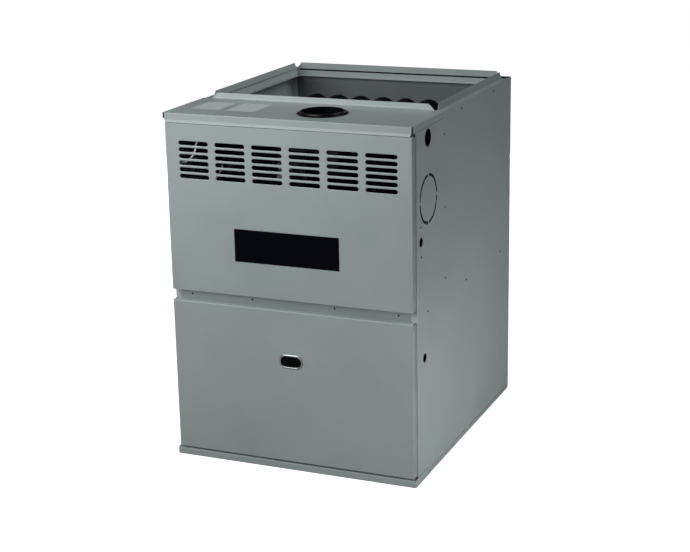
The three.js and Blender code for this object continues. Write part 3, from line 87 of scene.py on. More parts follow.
def soft_light(name, place, target, width, height, watts):
    lamp = bpy.data.lights.new(name, "AREA")
    lamp.shape, lamp.size, lamp.size_y, lamp.energy = "RECTANGLE", width, height, watts
    holder = bpy.data.objects.new(name, lamp)
    aim = Vector(target) - Vector(place)
    holder.matrix_world = Matrix.Translation(place) @ aim.to_track_quat("-Z", "Y").to_matrix().to_4x4()
    holder.visible_camera = False
    bpy.context.scene.collection.objects.link(holder)


soft_light("front_left_softbox", (-1.2, -2.7, 1.75), (0, 0, 0.75), 1.8, 1.4, 52)
soft_light("front_low_fill", (-0.6, -2.8, 0.7), (0, 0, 0.4), 1.8, 1.0, 9)
soft_light("top_edge_strip", (-0.35, -0.95, 1.25), (-0.1, -0.3, 0.84), 1.4, 0.25, 5.4)
soft_light("overhead_softbox", (-0.4, -0.2, 3.2), (0, 0, 0.8), 2.2, 2.2, 6.5)
soft_light("back_left_softbox", (-2.2, 1.6, 2.2), (-0.1, 0, 0.86), 1.6, 1.6, 6.8)
soft_light("right_high_softbox", (3.4, 0.2, 2.6), (0.3, 0, 0.8), 2.0, 2.0, 45)
soft_light("right_low_strip", (0.95, -0.3, 0.1), (0.3, -0.2, 0.08), 1.3, 0.16, 4.8)
soft_light("duct_edge_strip", (0.22, 0.15, 1.35), (-0.29, 0.15, 0.86), 0.5, 0.25, 1.7)
soft_light("rear_softbox", (-1.1, 3.2, 0.42), (-0.1, 0.3, 0.4), 2.0, 0.8, 58)
soft_light("left_softbox", (-3.3, 0.5, 0.42), (-0.3, 0, 0.4), 2.0, 0.8, 50)

room = bpy.data.worlds.new("white_room")
room.use_nodes = True
room.node_tree.nodes.clear()
seen = add_node(room.node_tree, "ShaderNodeLightPath")
straight = add_node(room.node_tree, "ShaderNodeMath", {0: seen.outputs["Is Camera Ray"],
                    1: seen.outputs["Is Transmission Ray"]}, operation="MAXIMUM")
strength = add_node(room.node_tree, "ShaderNodeMix", {"Factor": straight.outputs[0], "A": 0.01, "B": 1.0})
sky = add_node(room.node_tree, "ShaderNodeBackground", {"Color": (1, 1, 1, 1),
               "Strength": strength.outputs["Result"]})
add_node(room.node_tree, "ShaderNodeOutputWorld", {"Surface": sky.outputs[0]})
bpy.context.scene.world = room

floor_mesh = bpy.data.meshes.new("studio_floor")
reach = 30.0
floor_mesh.from_pydata([(-reach, -reach, 0), (reach, -reach, 0), (reach, reach, 0), (-reach, reach, 0)],
                       [], [(0, 1, 2, 3)])
floor = bpy.data.objects.new("studio_floor", floor_mesh)
bpy.context.scene.collection.objects.link(floor)
white_floor = bpy.data.materials.new("white_floor")
white_floor.use_nodes = True
tree = white_floor.node_tree
tree.nodes.clear()
seen = add_node(tree, "ShaderNodeLightPath")
matt = add_node(tree, "ShaderNodeBsdfDiffuse", {"Color": linear("ADADAC")})
glow_amount = add_node(tree, "ShaderNodeMix", {"Factor": seen.outputs["Is Camera Ray"], "A": 0.02, "B": 1.0})
glow = add_node(tree, "ShaderNodeEmission", {"Color": (1, 1, 1, 1),
                "Strength": glow_amount.outputs["Result"]})
both = add_node(tree, "ShaderNodeAddShader", {0: matt.outputs[0], 1: glow.outputs[0]})
add_node(tree, "ShaderNodeOutputMaterial", {"Surface": both.outputs[0]})
floor_mesh.materials.append(white_floor)

# ------------------------------------------------------------------ painted casing
# Side, rear, bottom and top panels, rails and duct flanges: 1 mm galvanised sheet, folded on a
# press brake and powder coated grey-green. Screws and spot welds hold them together. The coat
# is satin, with a slight orange peel and a drift of tone over a panel.

mm = 0.001
fold_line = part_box("right_side_panel")[0].y      # plane of the casing's front folds


def start_finish(name):
    finish = bpy.data.materials.new(name)
    finish.use_nodes = True
    finish.node_tree.nodes.clear()
    return finish, finish.node_tree


def powder_coat(name, dark, light, shine, upward=1.0, sideways=1.0, forward=1.0):
    """Polyester powder coat: the peel is really about 1.5 mm across and is drawn at 4 mm. The
    last three paint light and shade into the coat: faces that look up, sideways or forward
    are made paler or darker than the rest."""
    finish, tree = start_finish(name)
    spot = add_node(tree, "ShaderNodeTexCoord")
    place = spot.outputs["Object"]
    drift = add_node(tree, "ShaderNodeTexNoise", {"Vector": place, "Scale": 1 / (180 * mm), "Detail": 3.0})
    speckle = add_node(tree, "ShaderNodeTexNoise", {"Vector": place, "Scale": 1 / (2.2 * mm), "Detail": 2.0})
    blend = add_node(tree, "ShaderNodeMix", {"Factor": 0.3, "A": drift.outputs["Fac"],
                                             "B": speckle.outputs["Fac"]})
    tone = add_node(tree, "ShaderNodeValToRGB", {"Fac": blend.outputs["Result"]})
    tone.color_ramp.elements[0].position, tone.color_ramp.elements[1].position = 0.3, 0.7
    tone.color_ramp.elements[0].color, tone.color_ramp.elements[1].color = linear(dark), linear(light)
    facing = add_node(tree, "ShaderNodeSeparateXYZ", {"Vector": spot.outputs["Normal"]})
    across = add_node(tree, "ShaderNodeMath", {"Value": facing.outputs["X"]}, operation="ABSOLUTE")
    # painted light and shade: the tone is scaled by the way each face looks
    painted_light_factor = 1.0
    for looks, start, stop, change in ((facing.outputs["Z"], 0.3, 0.9, upward),
                                       (across.outputs[0], 0.7, 0.97, sideways),
                                       (facing.outputs["Y"], -0.6, -0.95, forward)):
        step = add_node(tree, "ShaderNodeMapRange", {"Value": looks, "From Min": start, "From Max": stop,
                                                     "To Min": 1.0, "To Max": change})
        painted_light_factor = add_node(tree, "ShaderNodeMath", {0: step.outputs["Result"], 1: painted_light_factor},
                         operation="MULTIPLY").outputs[0]
    shade = add_node(tree, "ShaderNodeVectorMath", {0: tone.outputs["Color"], "Scale": painted_light_factor},
                     operation="SCALE")
    peel = add_node(tree, "ShaderNodeTexNoise", {"Vector": place, "Scale": 1 / (4 * mm), "Detail": 1.0})
    gloss = add_node(tree, "ShaderNodeMapRange", {"Value": drift.outputs["Fac"], "From Min": 0.3,
                     "From Max": 0.7, "To Min": shine - 0.03, "To Max": shine + 0.03})
    relief = add_node(tree, "ShaderNodeBump", {"Height": peel.outputs["Fac"], "Strength": 0.25,
                                               "Distance": 0.04 * mm})
    coat = add_node(tree, "ShaderNodeBsdfPrincipled", {"Base Color": shade.outputs["Vector"],
                    "Roughness": gloss.outputs["Result"], "Metallic": 0.0, "IOR": 1.5,
                    "Specular IOR Level": 0.32, "Normal": relief.outputs["Normal"]})
    add_node(tree, "ShaderNodeOutputMaterial", {"Surface": coat.outputs[0]})
    return finish


cabinet_paint = powder_coat("grey_green_powder_coat", "7F8888", "879090", 0.42)


def dress(finish, *names):
    """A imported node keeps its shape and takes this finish."""
    for name in names:
        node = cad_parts[name]
        node.data.materials.clear()
        node.data.materials.append(finish)


# ------------------------------------------------------------------ upper door
# A pan of 1 mm sheet: the face is punched with six groups of six louvre slots whose edges are
# rolled in, then the four sides are folded back and turned in to lie on the casing. Tongues at
# the back pass the casing's slots. Powder coated with the casing.

gauge = 1.0 * mm
bend = 2.5 * mm                                  # outside radius of a fold
door_corner = 1.2 * mm                           # corner radius of a door seen from the front
tongue_x, tongue_inset = 303.65 * mm, 60 * mm    # from the middle, and from a door's top and foot


def set_in_place(finish, name, mesh, body, nodes, angle):
    """Shade the mesh by its edges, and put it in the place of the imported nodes."""
    for face in mesh.polygons:
        face.use_smooth = True
    mesh.set_sharp_from_angle(angle=math.radians(angle))
    mesh.materials.append(finish)
    piece = bpy.data.objects.new(name, mesh)
    bpy.context.scene.collection.objects.link(piece)
    piece.modifiers.new("flats_keep_their_normals", "WEIGHTED_NORMAL").keep_sharp = True
    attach(piece, body)
    if nodes:
        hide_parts(*nodes)


def to_part(finish, name, mesh_data, body, slot, *nodes):
    """Close the mesh and set it in place; with no nodes it is a piece of its own."""
    bmesh.ops.remove_doubles(mesh_data, verts=mesh_data.verts, dist=0.004 * mm)
    bmesh.ops.recalc_face_normals(mesh_data, faces=mesh_data.faces)
    mesh = bpy.data.meshes.new(name)
    mesh_data.to_mesh(mesh)
    mesh_data.free()
    set_in_place(finish, name, mesh, body, nodes, 32)


def slot_outline(centre, length, height, grow=0.0, steps=9):
    """Points round an oval slot, anticlockwise as seen from the front."""
    radius = height / 2
    points = []
    for side, turn in ((1, -90), (-1, 90)):
        for k in range(steps + 1):
            angle = math.radians(turn + 180 * k / steps)
            points.append((centre[0] + side * (length / 2 - radius) + (radius + grow) * math.cos(angle),
                           centre[1] + (radius + grow) * math.sin(angle)))
    return points


def pan_outline(low, high, inset, corner, steps=3):
    """Points round a rectangle with small round corners, anticlockwise."""
    points = []
    for cx, cz, start in ((high[0], high[1], 0), (low[0], high[1], 90), (low[0], low[1], 180),
                          (high[0], low[1], 270)):
        sx, sz = (1 if cx == high[0] else -1), (1 if cz == high[1] else -1)
        mx, mz = cx - sx * (inset + corner), cz - sz * (inset + corner)
        for k in range(steps + 1):
            angle = math.radians(start + 90 * k / steps)
            points.append((mx + corner * math.cos(angle), mz + corner * math.sin(angle)))
    return points


def upright(a, b, depth):
    return a, depth, b


def ring(work, points, depth, place=upright):
    return [work.verts.new(place(a, b, depth)) for a, b in points]


def bridge(work, rings):
    """Quads between rings of equal counts."""
    for first, second in zip(rings, rings[1:]):
        count = len(first)
        for i in range(count):
            j = (i + 1) % count
            work.faces.new((first[i], first[j], second[j], second[i]))


def skin(work, loops):
    """A flat face bounded by the first loop, with the other loops as holes."""
    edges = []
    for loop in loops:
        for i, corner in enumerate(loop):
            pair = (corner, loop[(i + 1) % len(loop)])
            edges.append(work.edges.get(pair) or work.edges.new(pair))
    bmesh.ops.triangle_fill(work, edges=edges, use_beauty=True, use_dissolve=False)


def slab(work, corner, opposite):
    """A plain bar of sheet between two opposite corners, fused to the piece's mesh."""
    low, high = zip(*(sorted(pair) for pair in zip(corner, opposite)))
    made = bmesh.ops.create_cube(work, size=1.0)["verts"]
    middle = [(a + b) / 2 for a, b in zip(low, high)]
    size = [b - a for a, b in zip(low, high)]
    for point in made:
        point.co = [m + c * s for m, c, s in zip(middle, point.co, size)]


def door_pan(work, node, slots, rim):
    """The folded pan. Each slot is (centre, length, height); rim is how far its edge rolls in."""
    low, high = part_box(node)
    front = low.y
    back = fold_line - 0.3 * mm
    low, high = (low.x, low.z), (high.x, high.z)
    turns = [math.radians(angle) for angle in (0, 15, 30, 45, 60, 75, 90)]
    outer = []
    for angle in turns:
        outer.append(ring(work, pan_outline(low, high, bend * (1 - math.sin(angle)), door_corner),
                          front + bend * (1 - math.cos(angle))))
    edge = [(0, back - 1.2 * mm), (0.35 * mm, back - 0.35 * mm), (1.2 * mm, back), (11 * mm, back),
            (11 * mm, back - gauge), (1.6 * mm, back - gauge), (gauge, back - 1.8 * mm)]
    outer += [ring(work, pan_outline(low, high, inset, door_corner), depth) for inset, depth in edge]
    for angle in reversed(turns):
        radius = bend - gauge
        inset = gauge + radius * (1 - math.sin(angle))
        outer.append(ring(work, pan_outline(low, high, inset, door_corner),
                          front + gauge + radius * (1 - math.cos(angle))))
    bridge(work, outer)
    front_loops, back_loops = [outer[0]], [outer[-1]]
    for centre, length, height in slots:
        rolled = [ring(work, slot_outline(centre, length, height, rim * (1 - math.sin(a))),
                       front + rim * (1 - math.cos(a))) for a in turns[::2]]
        rolled.append(ring(work, slot_outline(centre, length, height), front + rim + 0.4 * mm))
        rolled.append(ring(work, slot_outline(centre, length, height, gauge), front + rim + 0.4 * mm))
        rolled += [ring(work, slot_outline(centre, length, height, rim - (rim - gauge) * math.sin(a)),
                        front + rim - (rim - gauge) * math.cos(a)) for a in reversed(turns[::2])]
        bridge(work, rolled)
        front_loops.append(rolled[0])
        back_loops.append(rolled[-1])
    skin(work, front_loops)
    skin(work, back_loops)


def tongues(work, heights):
    for height in heights:
        for side in (-1, 1):
            middle = side * tongue_x
            slab(work, (middle - 0.75 * mm, fold_line - 0.8 * mm, height - 12 * mm),
                 (middle + 0.75 * mm, fold_line + 9 * mm, height + 12 * mm))


# Painted light on the doors: faces that look up are 1.55 times paler, a painted highlight, and faces that
# look sideways are 0.8 times as dark, painted shade.
door_paint_with_painted_light = powder_coat("grey_green_powder_coat_with_painted_light_on_doors", "7F8888", "879090", 0.42, 1.55, 0.8)
upper_low, upper_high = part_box("upper_door")
group_pitch, top_row, row_pitch = 94, 783.9, 15.8         # millimetres
louvre_length, louvre_height = 76.4 * mm, 10.2 * mm
louvres = [(((group - 2.5) * group_pitch * mm, (top_row - row_pitch * row) * mm),
            louvre_length, louvre_height)
           for group in range(6) for row in range(6)]
work = bmesh.new()
door_pan(work, "upper_door", louvres, 1.7 * mm)
tongues(work, (upper_low.z + tongue_inset, upper_high.z - tongue_inset))
to_part(door_paint_with_painted_light, "upper_door_pan", work, "upper_door", "cabinet_paint", "upper_door")

# ------------------------------------------------------------------ nameplate
# A thin plate of gloss enamelled aluminium, stuck to the upper door. It is bare: a plain
# near-black field with finely rounded edges.

def even_finish(name, dark, light, patch, detail, shine, surface=None, relief=None):
    """A tone that drifts between two colours over patches of one size. Shine is one roughness or
    the two it drifts between; relief is a bump's strength and height."""
    finish, tree = start_finish(name)
    place = add_node(tree, "ShaderNodeTexCoord").outputs["Object"]
    drift = add_node(tree, "ShaderNodeTexNoise", {"Vector": place, "Scale": 1 / patch, "Detail": detail})
    tone = add_node(tree, "ShaderNodeValToRGB", {"Fac": drift.outputs["Fac"]})
    tone.color_ramp.elements[0].color, tone.color_ramp.elements[1].color = linear(dark), linear(light)
    sockets = {"Base Color": tone.outputs["Color"], "Roughness": shine, **(surface or {})}
    if isinstance(shine, tuple):
        gloss = add_node(tree, "ShaderNodeMapRange", {"Value": drift.outputs["Fac"],
                         "To Min": shine[0], "To Max": shine[1]})
        sockets["Roughness"] = gloss.outputs["Result"]
    if relief:
        bump = add_node(tree, "ShaderNodeBump", {"Height": drift.outputs["Fac"],
                        "Strength": relief[0], "Distance": relief[1]})
        sockets["Normal"] = bump.outputs["Normal"]
    outside = add_node(tree, "ShaderNodeBsdfPrincipled", sockets)
    add_node(tree, "ShaderNodeOutputMaterial", {"Surface": outside.outputs[0]})
    return finish


# Gloss enamel on aluminium sheet: deep blue-black, with a slight sheen.
plate_enamel = even_finish("gloss_blue_black_enamel", "010107", "02030A", 60 * mm, 2.0, (0.16, 0.24),
                           {"IOR": 1.5, "Specular IOR Level": 0.04})
plate_low, plate_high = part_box("nameplate")
work = bmesh.new()
off_centre, raised = -3.8 * mm, 0.7 * mm         # it sits a little left of the door's middle
corners = ((plate_low.x + off_centre, plate_low.z + raised),
           (plate_high.x + off_centre, plate_high.z + raised))
bridge(work, [ring(work, pan_outline(*corners, inset, 0.8 * mm), depth) for inset, depth in
              ((0.5 * mm, plate_low.y), (0.2 * mm, plate_low.y + 0.1 * mm), (0, plate_low.y + 0.4 * mm),
               (0, plate_high.y))])
work.verts.ensure_lookup_table()
count = len(work.verts) // 4
skin(work, [list(work.verts)[:count]])
skin(work, [list(work.verts)[-count:]])
to_part(plate_enamel, "bare_nameplate", work, "upper_door", "black_plastic", "nameplate")

# ------------------------------------------------------------------ lower door and sight window
# The blower door is the same kind of pan, plain but for an oval window. A drawn ring of zinc
# plated steel holds a pane of dark glass behind its rolled edge and is staked into the skin.

window_height = 275 * mm
work = bmesh.new()
opening = (0, window_height), 55.6 * mm, 29.6 * mm        # its centre, length and height
door_pan(work, "lower_door", [opening], 1.1 * mm)
lower_low, lower_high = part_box("lower_door")
tongues(work, (lower_low.z + tongue_inset, lower_high.z - tongue_inset))
slab(work, (203 * mm, fold_line - 1.3 * mm, 365.7 * mm),
     (225 * mm, fold_line - 0.3 * mm, lower_high.z - 0.5 * mm))    # the tab that presses the door switch
to_part(door_paint_with_painted_light, "lower_door_pan", work, "lower_door", "cabinet_paint", "lower_door")

# Bright zinc plating with a thin clear film: pale grey metal, slightly uneven.
zinc = even_finish("zinc_plated_steel", "8C908E", "A6AAA8", 3 * mm, 2.0, (0.22, 0.38), {"Metallic": 1.0})
ring_low, ring_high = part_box("sight_window_bezel")
ring_length, ring_height = ring_high.x - ring_low.x, ring_high.z - ring_low.z
skin_plane = lower_low.y
work = bmesh.new()
section = [(-3.9, skin_plane + 2.5 * mm), (-4.2, skin_plane - 0.5 * mm),
           (-4.1, ring_low.y + 0.5 * mm), (-3.6, ring_low.y + 0.12 * mm), (-2.6, ring_low.y),
           (-1.2, ring_low.y + 0.25 * mm), (-0.35, ring_low.y + 0.8 * mm), (0, skin_plane - 0.3 * mm),
           (-3.0, skin_plane - 0.3 * mm), (-3.0, skin_plane + 2.5 * mm)]
rings = [ring(work, slot_outline((0, window_height), ring_length, ring_height, inset * mm, 20), depth)
         for inset, depth in section]
bridge(work, rings + rings[:1])
to_part(zinc, "sight_window_ring", work, "lower_door", "galvanised_steel", "sight_window_bezel")


def dark_glass():
    """Heat resisting glass, so dark that it reads as black with a sharp gloss."""
    finish, tree = start_finish("dark_heat_resisting_glass")
    place = add_node(tree, "ShaderNodeTexCoord").outputs["Object"]
    dust = add_node(tree, "ShaderNodeTexNoise", {"Vector": place, "Scale": 1 / (9 * mm), "Detail": 4.0})
    gloss = add_node(tree, "ShaderNodeMapRange", {"Value": dust.outputs["Fac"],
                     "To Min": 0.04, "To Max": 0.12})
    pane = add_node(tree, "ShaderNodeBsdfPrincipled", {"Base Color": linear("010404"),
                    "Roughness": gloss.outputs["Result"], "IOR": 1.5, "Specular IOR Level": 0.06})
    add_node(tree, "ShaderNodeOutputMaterial", {"Surface": pane.outputs[0]})
    return finish


dress(dark_glass(), "sight_window_glass")

# ------------------------------------------------------------------ vent collar and gasket
# The vent leaves through the top in a black painted steel collar; a moulded rubber gasket lies
# round it on the top plate, flat outside with a raised, rounded lip against the collar.


def turned(work, centre, profile, steps=96):
    """Revolve a closed profile of (radius, height) points about an upright axis."""
    rings = []
    for radius, along in profile:
        loop = []
        for k in range(steps):
            a, b = radius * math.cos(2 * math.pi * k / steps), radius * math.sin(2 * math.pi * k / steps)
            loop.append(work.verts.new((centre[0] + a, centre[1] + b, along)))
        rings.append(loop)
    bridge(work, rings + rings[:1])


gasket_low, gasket_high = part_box("vent_gasket")
vent_centre = ((gasket_low.x + gasket_high.x) / 2, (gasket_low.y + gasket_high.y) / 2)
outside = (gasket_high.x - gasket_low.x) / 2
inside = 49.3 * mm
work = bmesh.new()
turned(work, vent_centre, [
    (inside, gasket_low.z), (outside - 0.4 * mm, gasket_low.z), (outside, gasket_low.z + 0.4 * mm),
    (outside - 0.1 * mm, gasket_low.z + 1.3 * mm), (outside - 0.9 * mm, gasket_low.z + 1.9 * mm),
    (outside - 2.5 * mm, gasket_low.z + 2.1 * mm), (inside + 4.4 * mm, gasket_low.z + 2.2 * mm),
    (inside + 3.6 * mm, gasket_low.z + 2.5 * mm), (inside + 2.6 * mm, gasket_high.z + 2.2 * mm),
    (inside + 1.8 * mm, gasket_high.z + 2.8 * mm), (inside + 0.6 * mm, gasket_high.z + 2.7 * mm),
    (inside, gasket_high.z + 2.2 * mm)])
# EPDM rubber: matt black, with a slight sheen from the mould's surface.
gasket_rubber = even_finish("black_moulded_rubber", "010202", "030404", 1.5 * mm, 3.0, 0.3,
                            {"IOR": 1.52, "Specular IOR Level": 0.1}, (0.15, 0.05 * mm))
to_part(gasket_rubber, "vent_gasket_ring", work, "cabinet", "vent_gasket_rubber", "vent_gasket")


def rounded_copy(finish, name, node, body, angle=38):
    """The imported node's own shape with its facets shaded smooth, as formed metal is."""
    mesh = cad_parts[node].data.copy()
    mesh.materials.clear()
    work = bmesh.new()
    work.from_mesh(mesh)
    bmesh.ops.remove_doubles(work, verts=work.verts, dist=0.01 * mm)
    work.to_mesh(mesh)
    work.free()
    mesh.name = name
    set_in_place(finish, name, mesh, body, (node,), angle)


# Baked black enamel on steel sheet: satin, nearly even. The same black fills the thin strips
# of painted shade and painted shadow in seams, slits and laps.
black_enamel_and_painted_shade = even_finish("baked_black_enamel", "020303", "060808", 30 * mm, 4.0, (0.2, 0.3),
                          {"IOR": 1.5, "Specular IOR Level": 0.12})
rounded_copy(black_enamel_and_painted_shade, "vent_collar", "vent_adapter", "cabinet")

# ------------------------------------------------------------------ seams of the doors' corners
# Each door's folded sides meet at its corners without a weld. The open seams read as short black
# lines: thin black strips paint the shade in them.

for door, low, high in (("upper_door", upper_low, upper_high), ("lower_door", lower_low, lower_high)):
    work = bmesh.new()
    for x, z in ((low.x, low.z), (low.x, high.z), (high.x, low.z), (high.x, high.z)):
        inward_x, inward_z = math.copysign(1.5 * mm, -x), (1.5 * mm if z == low.z else -1.5 * mm)
        slab(work, (x - inward_x / 30, low.y + 2.6 * mm, z - inward_z / 30),
             (x + inward_x, fold_line - 1.6 * mm, z + inward_z))
    to_part(black_enamel_and_painted_shade, f"{door}_corner_seam_shade", work, door, "black_paint")

# ------------------------------------------------------------------ galvanised and aluminised pieces
# Inner walls, deck, housings and brackets are galvanised sheet with its spangle; tubes, burners
# and collector are aluminised steel, dulled by heat. All are drawn much darker than the bare
# metals: their near-black is painted shade, so that they read black through the louvres.


def sheet_metal(name, dark, light, cell, shine, metal=1.0, gleam=0.5):
    """Zinc or aluminium coated sheet: crystals of the coating show as cells of slightly other tone."""
    finish, tree = start_finish(name)
    place = add_node(tree, "ShaderNodeTexCoord").outputs["Object"]
    spangle = add_node(tree, "ShaderNodeTexVoronoi", {"Vector": place, "Scale": 1 / cell})
    drift = add_node(tree, "ShaderNodeTexNoise", {"Vector": place, "Scale": 1 / (70 * mm), "Detail": 4.0})
    level = add_node(tree, "ShaderNodeSeparateColor", {"Color": spangle.outputs["Color"]})
    blend = add_node(tree, "ShaderNodeMix", {"Factor": 0.5, "A": level.outputs["Red"],
                                             "B": drift.outputs["Fac"]})
    tone = add_node(tree, "ShaderNodeValToRGB", {"Fac": blend.outputs["Result"]})
    tone.color_ramp.elements[0].position, tone.color_ramp.elements[1].position = 0.2, 0.8
    tone.color_ramp.elements[0].color, tone.color_ramp.elements[1].color = linear(dark), linear(light)
    gloss = add_node(tree, "ShaderNodeMapRange", {"Value": blend.outputs["Result"], "To Min": shine - 0.08,
                     "To Max": shine + 0.08})
    metal_skin = add_node(tree, "ShaderNodeBsdfPrincipled", {"Base Color": tone.outputs["Color"],
                          "Roughness": gloss.outputs["Result"], "Metallic": metal,
                          "Specular IOR Level": gleam})
    add_node(tree, "ShaderNodeOutputMaterial", {"Surface": metal_skin.outputs[0]})
    return finish


# The near-black tones of both metals below are painted shade for the pieces behind the doors.
galvanised = sheet_metal("galvanised_sheet_in_painted_shade", "121515", "1C2020", 9 * mm, 0.5, 0.8)
dress(galvanised, "blower_deck", "junction_box", "control_panel", "motor_mount")
aluminised_in_painted_shade = sheet_metal("aluminised_steel_in_painted_shade", "010202", "030404", 14 * mm, 0.6, 0.1, 0.05)
dress(aluminised_in_painted_shade, "vestibule_panel", "burner_rack", "collector_box")

# ------------------------------------------------------------------ heat exchanger tubes
# Six tubes of aluminised steel, each bent three times so that the flame's gas runs back and
# forth four times. Their ends are swaged into the vestibule panel.


def serpentine(work, x, radius, bore):
    start, rise, bend_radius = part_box("heat_exchanger_tube_1")[0].y, 96 * mm, 48 * mm
    rear, near = fold_line + 505 * mm, fold_line + 262 * mm
    height = 500 * mm                             # of the lowest pass
    path = [(start, height, 0), (rear, height, 0)]
    for turn in range(3):
        facing, y = (1, rear) if turn % 2 == 0 else (-1, near)
        fall = 5.5 * mm if turn == 2 else 0       # the last pass ends this much lower than it starts
        for k in range(1, 17):
            angle = math.pi * k / 16
            path.append((y + facing * bend_radius * math.sin(angle),
                         height + (bend_radius + fall / 2) * (1 - math.cos(angle)),
                         angle if facing > 0 else math.pi - angle))
        height += rise
        if turn < 2:
            far = near if facing > 0 else rear
            path.append((far, height, math.pi if facing > 0 else 0))
    path.append((start, height, math.pi))
    rings = []
    for hole in (radius, bore):
        loops = []
        for y, z, heading in path:
            loop = []
            for k in range(28):
                a = 2 * math.pi * k / 28
                out = hole * math.cos(a)
                loop.append(work.verts.new((x + hole * math.sin(a), y - math.sin(heading) * out,
                                            z + math.cos(heading) * out)))
            loops.append(loop)
        rings += loops if not rings else loops[::-1]
    bridge(work, rings + rings[:1])


tube_pitch = 61.7                                 # millimetres
for index in range(6):
    work = bmesh.new()
    serpentine(work, (index - 2.5) * tube_pitch * mm, 25.4 * mm, 23.8 * mm)
    to_part(aluminised_in_painted_shade, f"exchanger_tube_{index + 1}", work, "cabinet", "aluminised_steel",
            f"heat_exchanger_tube_{index + 1}")

# ------------------------------------------------------------------ in-shot burners
# In-shot burners pressed from aluminised sheet, one before each tube. They stand in a row on
# the burner rack.

# Near-black tones: painted shade for the burners behind the doors.
aluminised = sheet_metal("aluminised_sheet_in_painted_shade", "090B0B", "101212", 5 * mm, 0.55, 0.6, 0.2)
for index in range(6):
    rounded_copy(aluminised, f"inshot_burner_{index + 1}", f"burner_{index + 1}", "cabinet")

# ------------------------------------------------------------------ side panels
# Each side is one sheet: its wall is punched for the gas pipe, the supply cable, the control
# wires and the rivets of the inner panels, a disc for a side vent hangs on four ties, and raised
# corners mark where a side return may be cut. It is folded in at the front, back and top.


def lengthways(a, b, along):
    return along, a, b


def flat(a, b, height):
    return a, b, height


def mirrored(side, place):
    """A placing for the right side, mirrored for the left one."""
    def placed(a, b, depth):
        x, y, z = place(a, b, depth)
        return side * x, y, z
    return placed


def plate(work, outer, holes, near, far, place):
    """Flat sheet between two depths, with holes through it; a tuple is a hole's two rims."""
    faces = [ring(work, outer, near, place)], [ring(work, outer, far, place)]
    bridge(work, [faces[0][0], faces[1][0]])
    for hole in holes:
        rims = hole if isinstance(hole, tuple) else (hole, hole)
        pair = ring(work, rims[0], near, place), ring(work, rims[1], far, place)
        bridge(work, list(pair))
        faces[0].append(pair[0])
        faces[1].append(pair[1])
    skin(work, faces[0])
    skin(work, faces[1])


def folded(work, line, thickness, radius, start, stop, place):
    """A sheet profile with round bends, run from start to stop. Thickness is laid to the left."""
    spine = []
    for i, point in enumerate(line):
        if i in (0, len(line) - 1):
            spine.append(Vector(point))
            continue
        corner = Vector(point)
        back, ahead = Vector(line[i - 1]) - corner, Vector(line[i + 1]) - corner
        back.normalize()
        ahead.normalize()
        half = back.angle(ahead) / 2
        middle = corner + (back + ahead).normalized() * radius / math.sin(half)
        first = corner + back * radius / math.tan(half) - middle
        turn = Vector(first).angle_signed(corner + ahead * radius / math.tan(half) - middle)
        for k in range(7):
            spine.append(middle + Matrix.Rotation(-turn * k / 6, 2) @ first)
    spine = spine[:1] + [p for last, p in zip(spine, spine[1:]) if (p - last).length > 0.01 * mm]
    left = []
    for i, point in enumerate(spine):
        before = (point - spine[i - 1]).normalized() if i else (spine[1] - point).normalized()
        after = (spine[i + 1] - point).normalized() if i < len(spine) - 1 else before
        along = (before + after).normalized()
        left.append(point + Vector((-along.y, along.x)) * thickness / along.dot(before))
    loop = [tuple(p) for p in spine + left[::-1]]
    ends = ring(work, loop, start, place), ring(work, loop, stop, place)
    bridge(work, list(ends))
    work.faces.new(ends[0])
    work.faces.new(ends[1][::-1])
    return ends


def circle(centre, radius, steps=40):
    return [(centre[0] + radius * math.cos(2 * math.pi * k / steps),
             centre[1] + radius * math.sin(2 * math.pi * k / steps)) for k in range(steps)]


def tie_slit(centre, outer, width, tie, quarter):
    """One of the four slits that leave the disc on its ties."""
    gap = tie / outer / 2
    first, last = quarter * math.pi / 2 + gap, (quarter + 1) * math.pi / 2 - gap
    arc = [first + (last - first) * k / 14 for k in range(15)]
    return [(centre[0] + r * math.cos(a), centre[1] + r * math.sin(a))
            for r, sweep in ((outer, arc), (outer - width, arc[::-1])) for a in sweep]


def capped(work, rings):
    """Quads between the rings and a face over either end."""
    bridge(work, rings)
    work.faces.new(rings[0][::-1])
    work.faces.new(rings[-1])


def rivet_head(work, centre, levels, place=upright):
    """A low domed head; each level is a radius and a depth."""
    capped(work, [ring(work, circle(centre, radius, 12), depth, place) for radius, depth in levels])


side_low, side_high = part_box("right_side_panel")
wall_x = side_high.x
rivet_places = [(184.5, 800), (187, 627), (189, 454), (68, 407), (345, 406), (622, 406), (307, 839),
                (557, 840), (24, 617), (26, 547)]         # millimetres behind the folds and up
tongue_heights = [lower_low.z + tongue_inset, lower_high.z - tongue_inset,
                  upper_low.z + tongue_inset, upper_high.z - tongue_inset]
# Painted light on the sides: faces that look forward, such as the front folds, are 1.45 times paler.
side_paint_with_painted_light = powder_coat("grey_green_powder_coat_with_painted_light_on_sides", "7F8888", "879090", 0.42, forward=1.45)


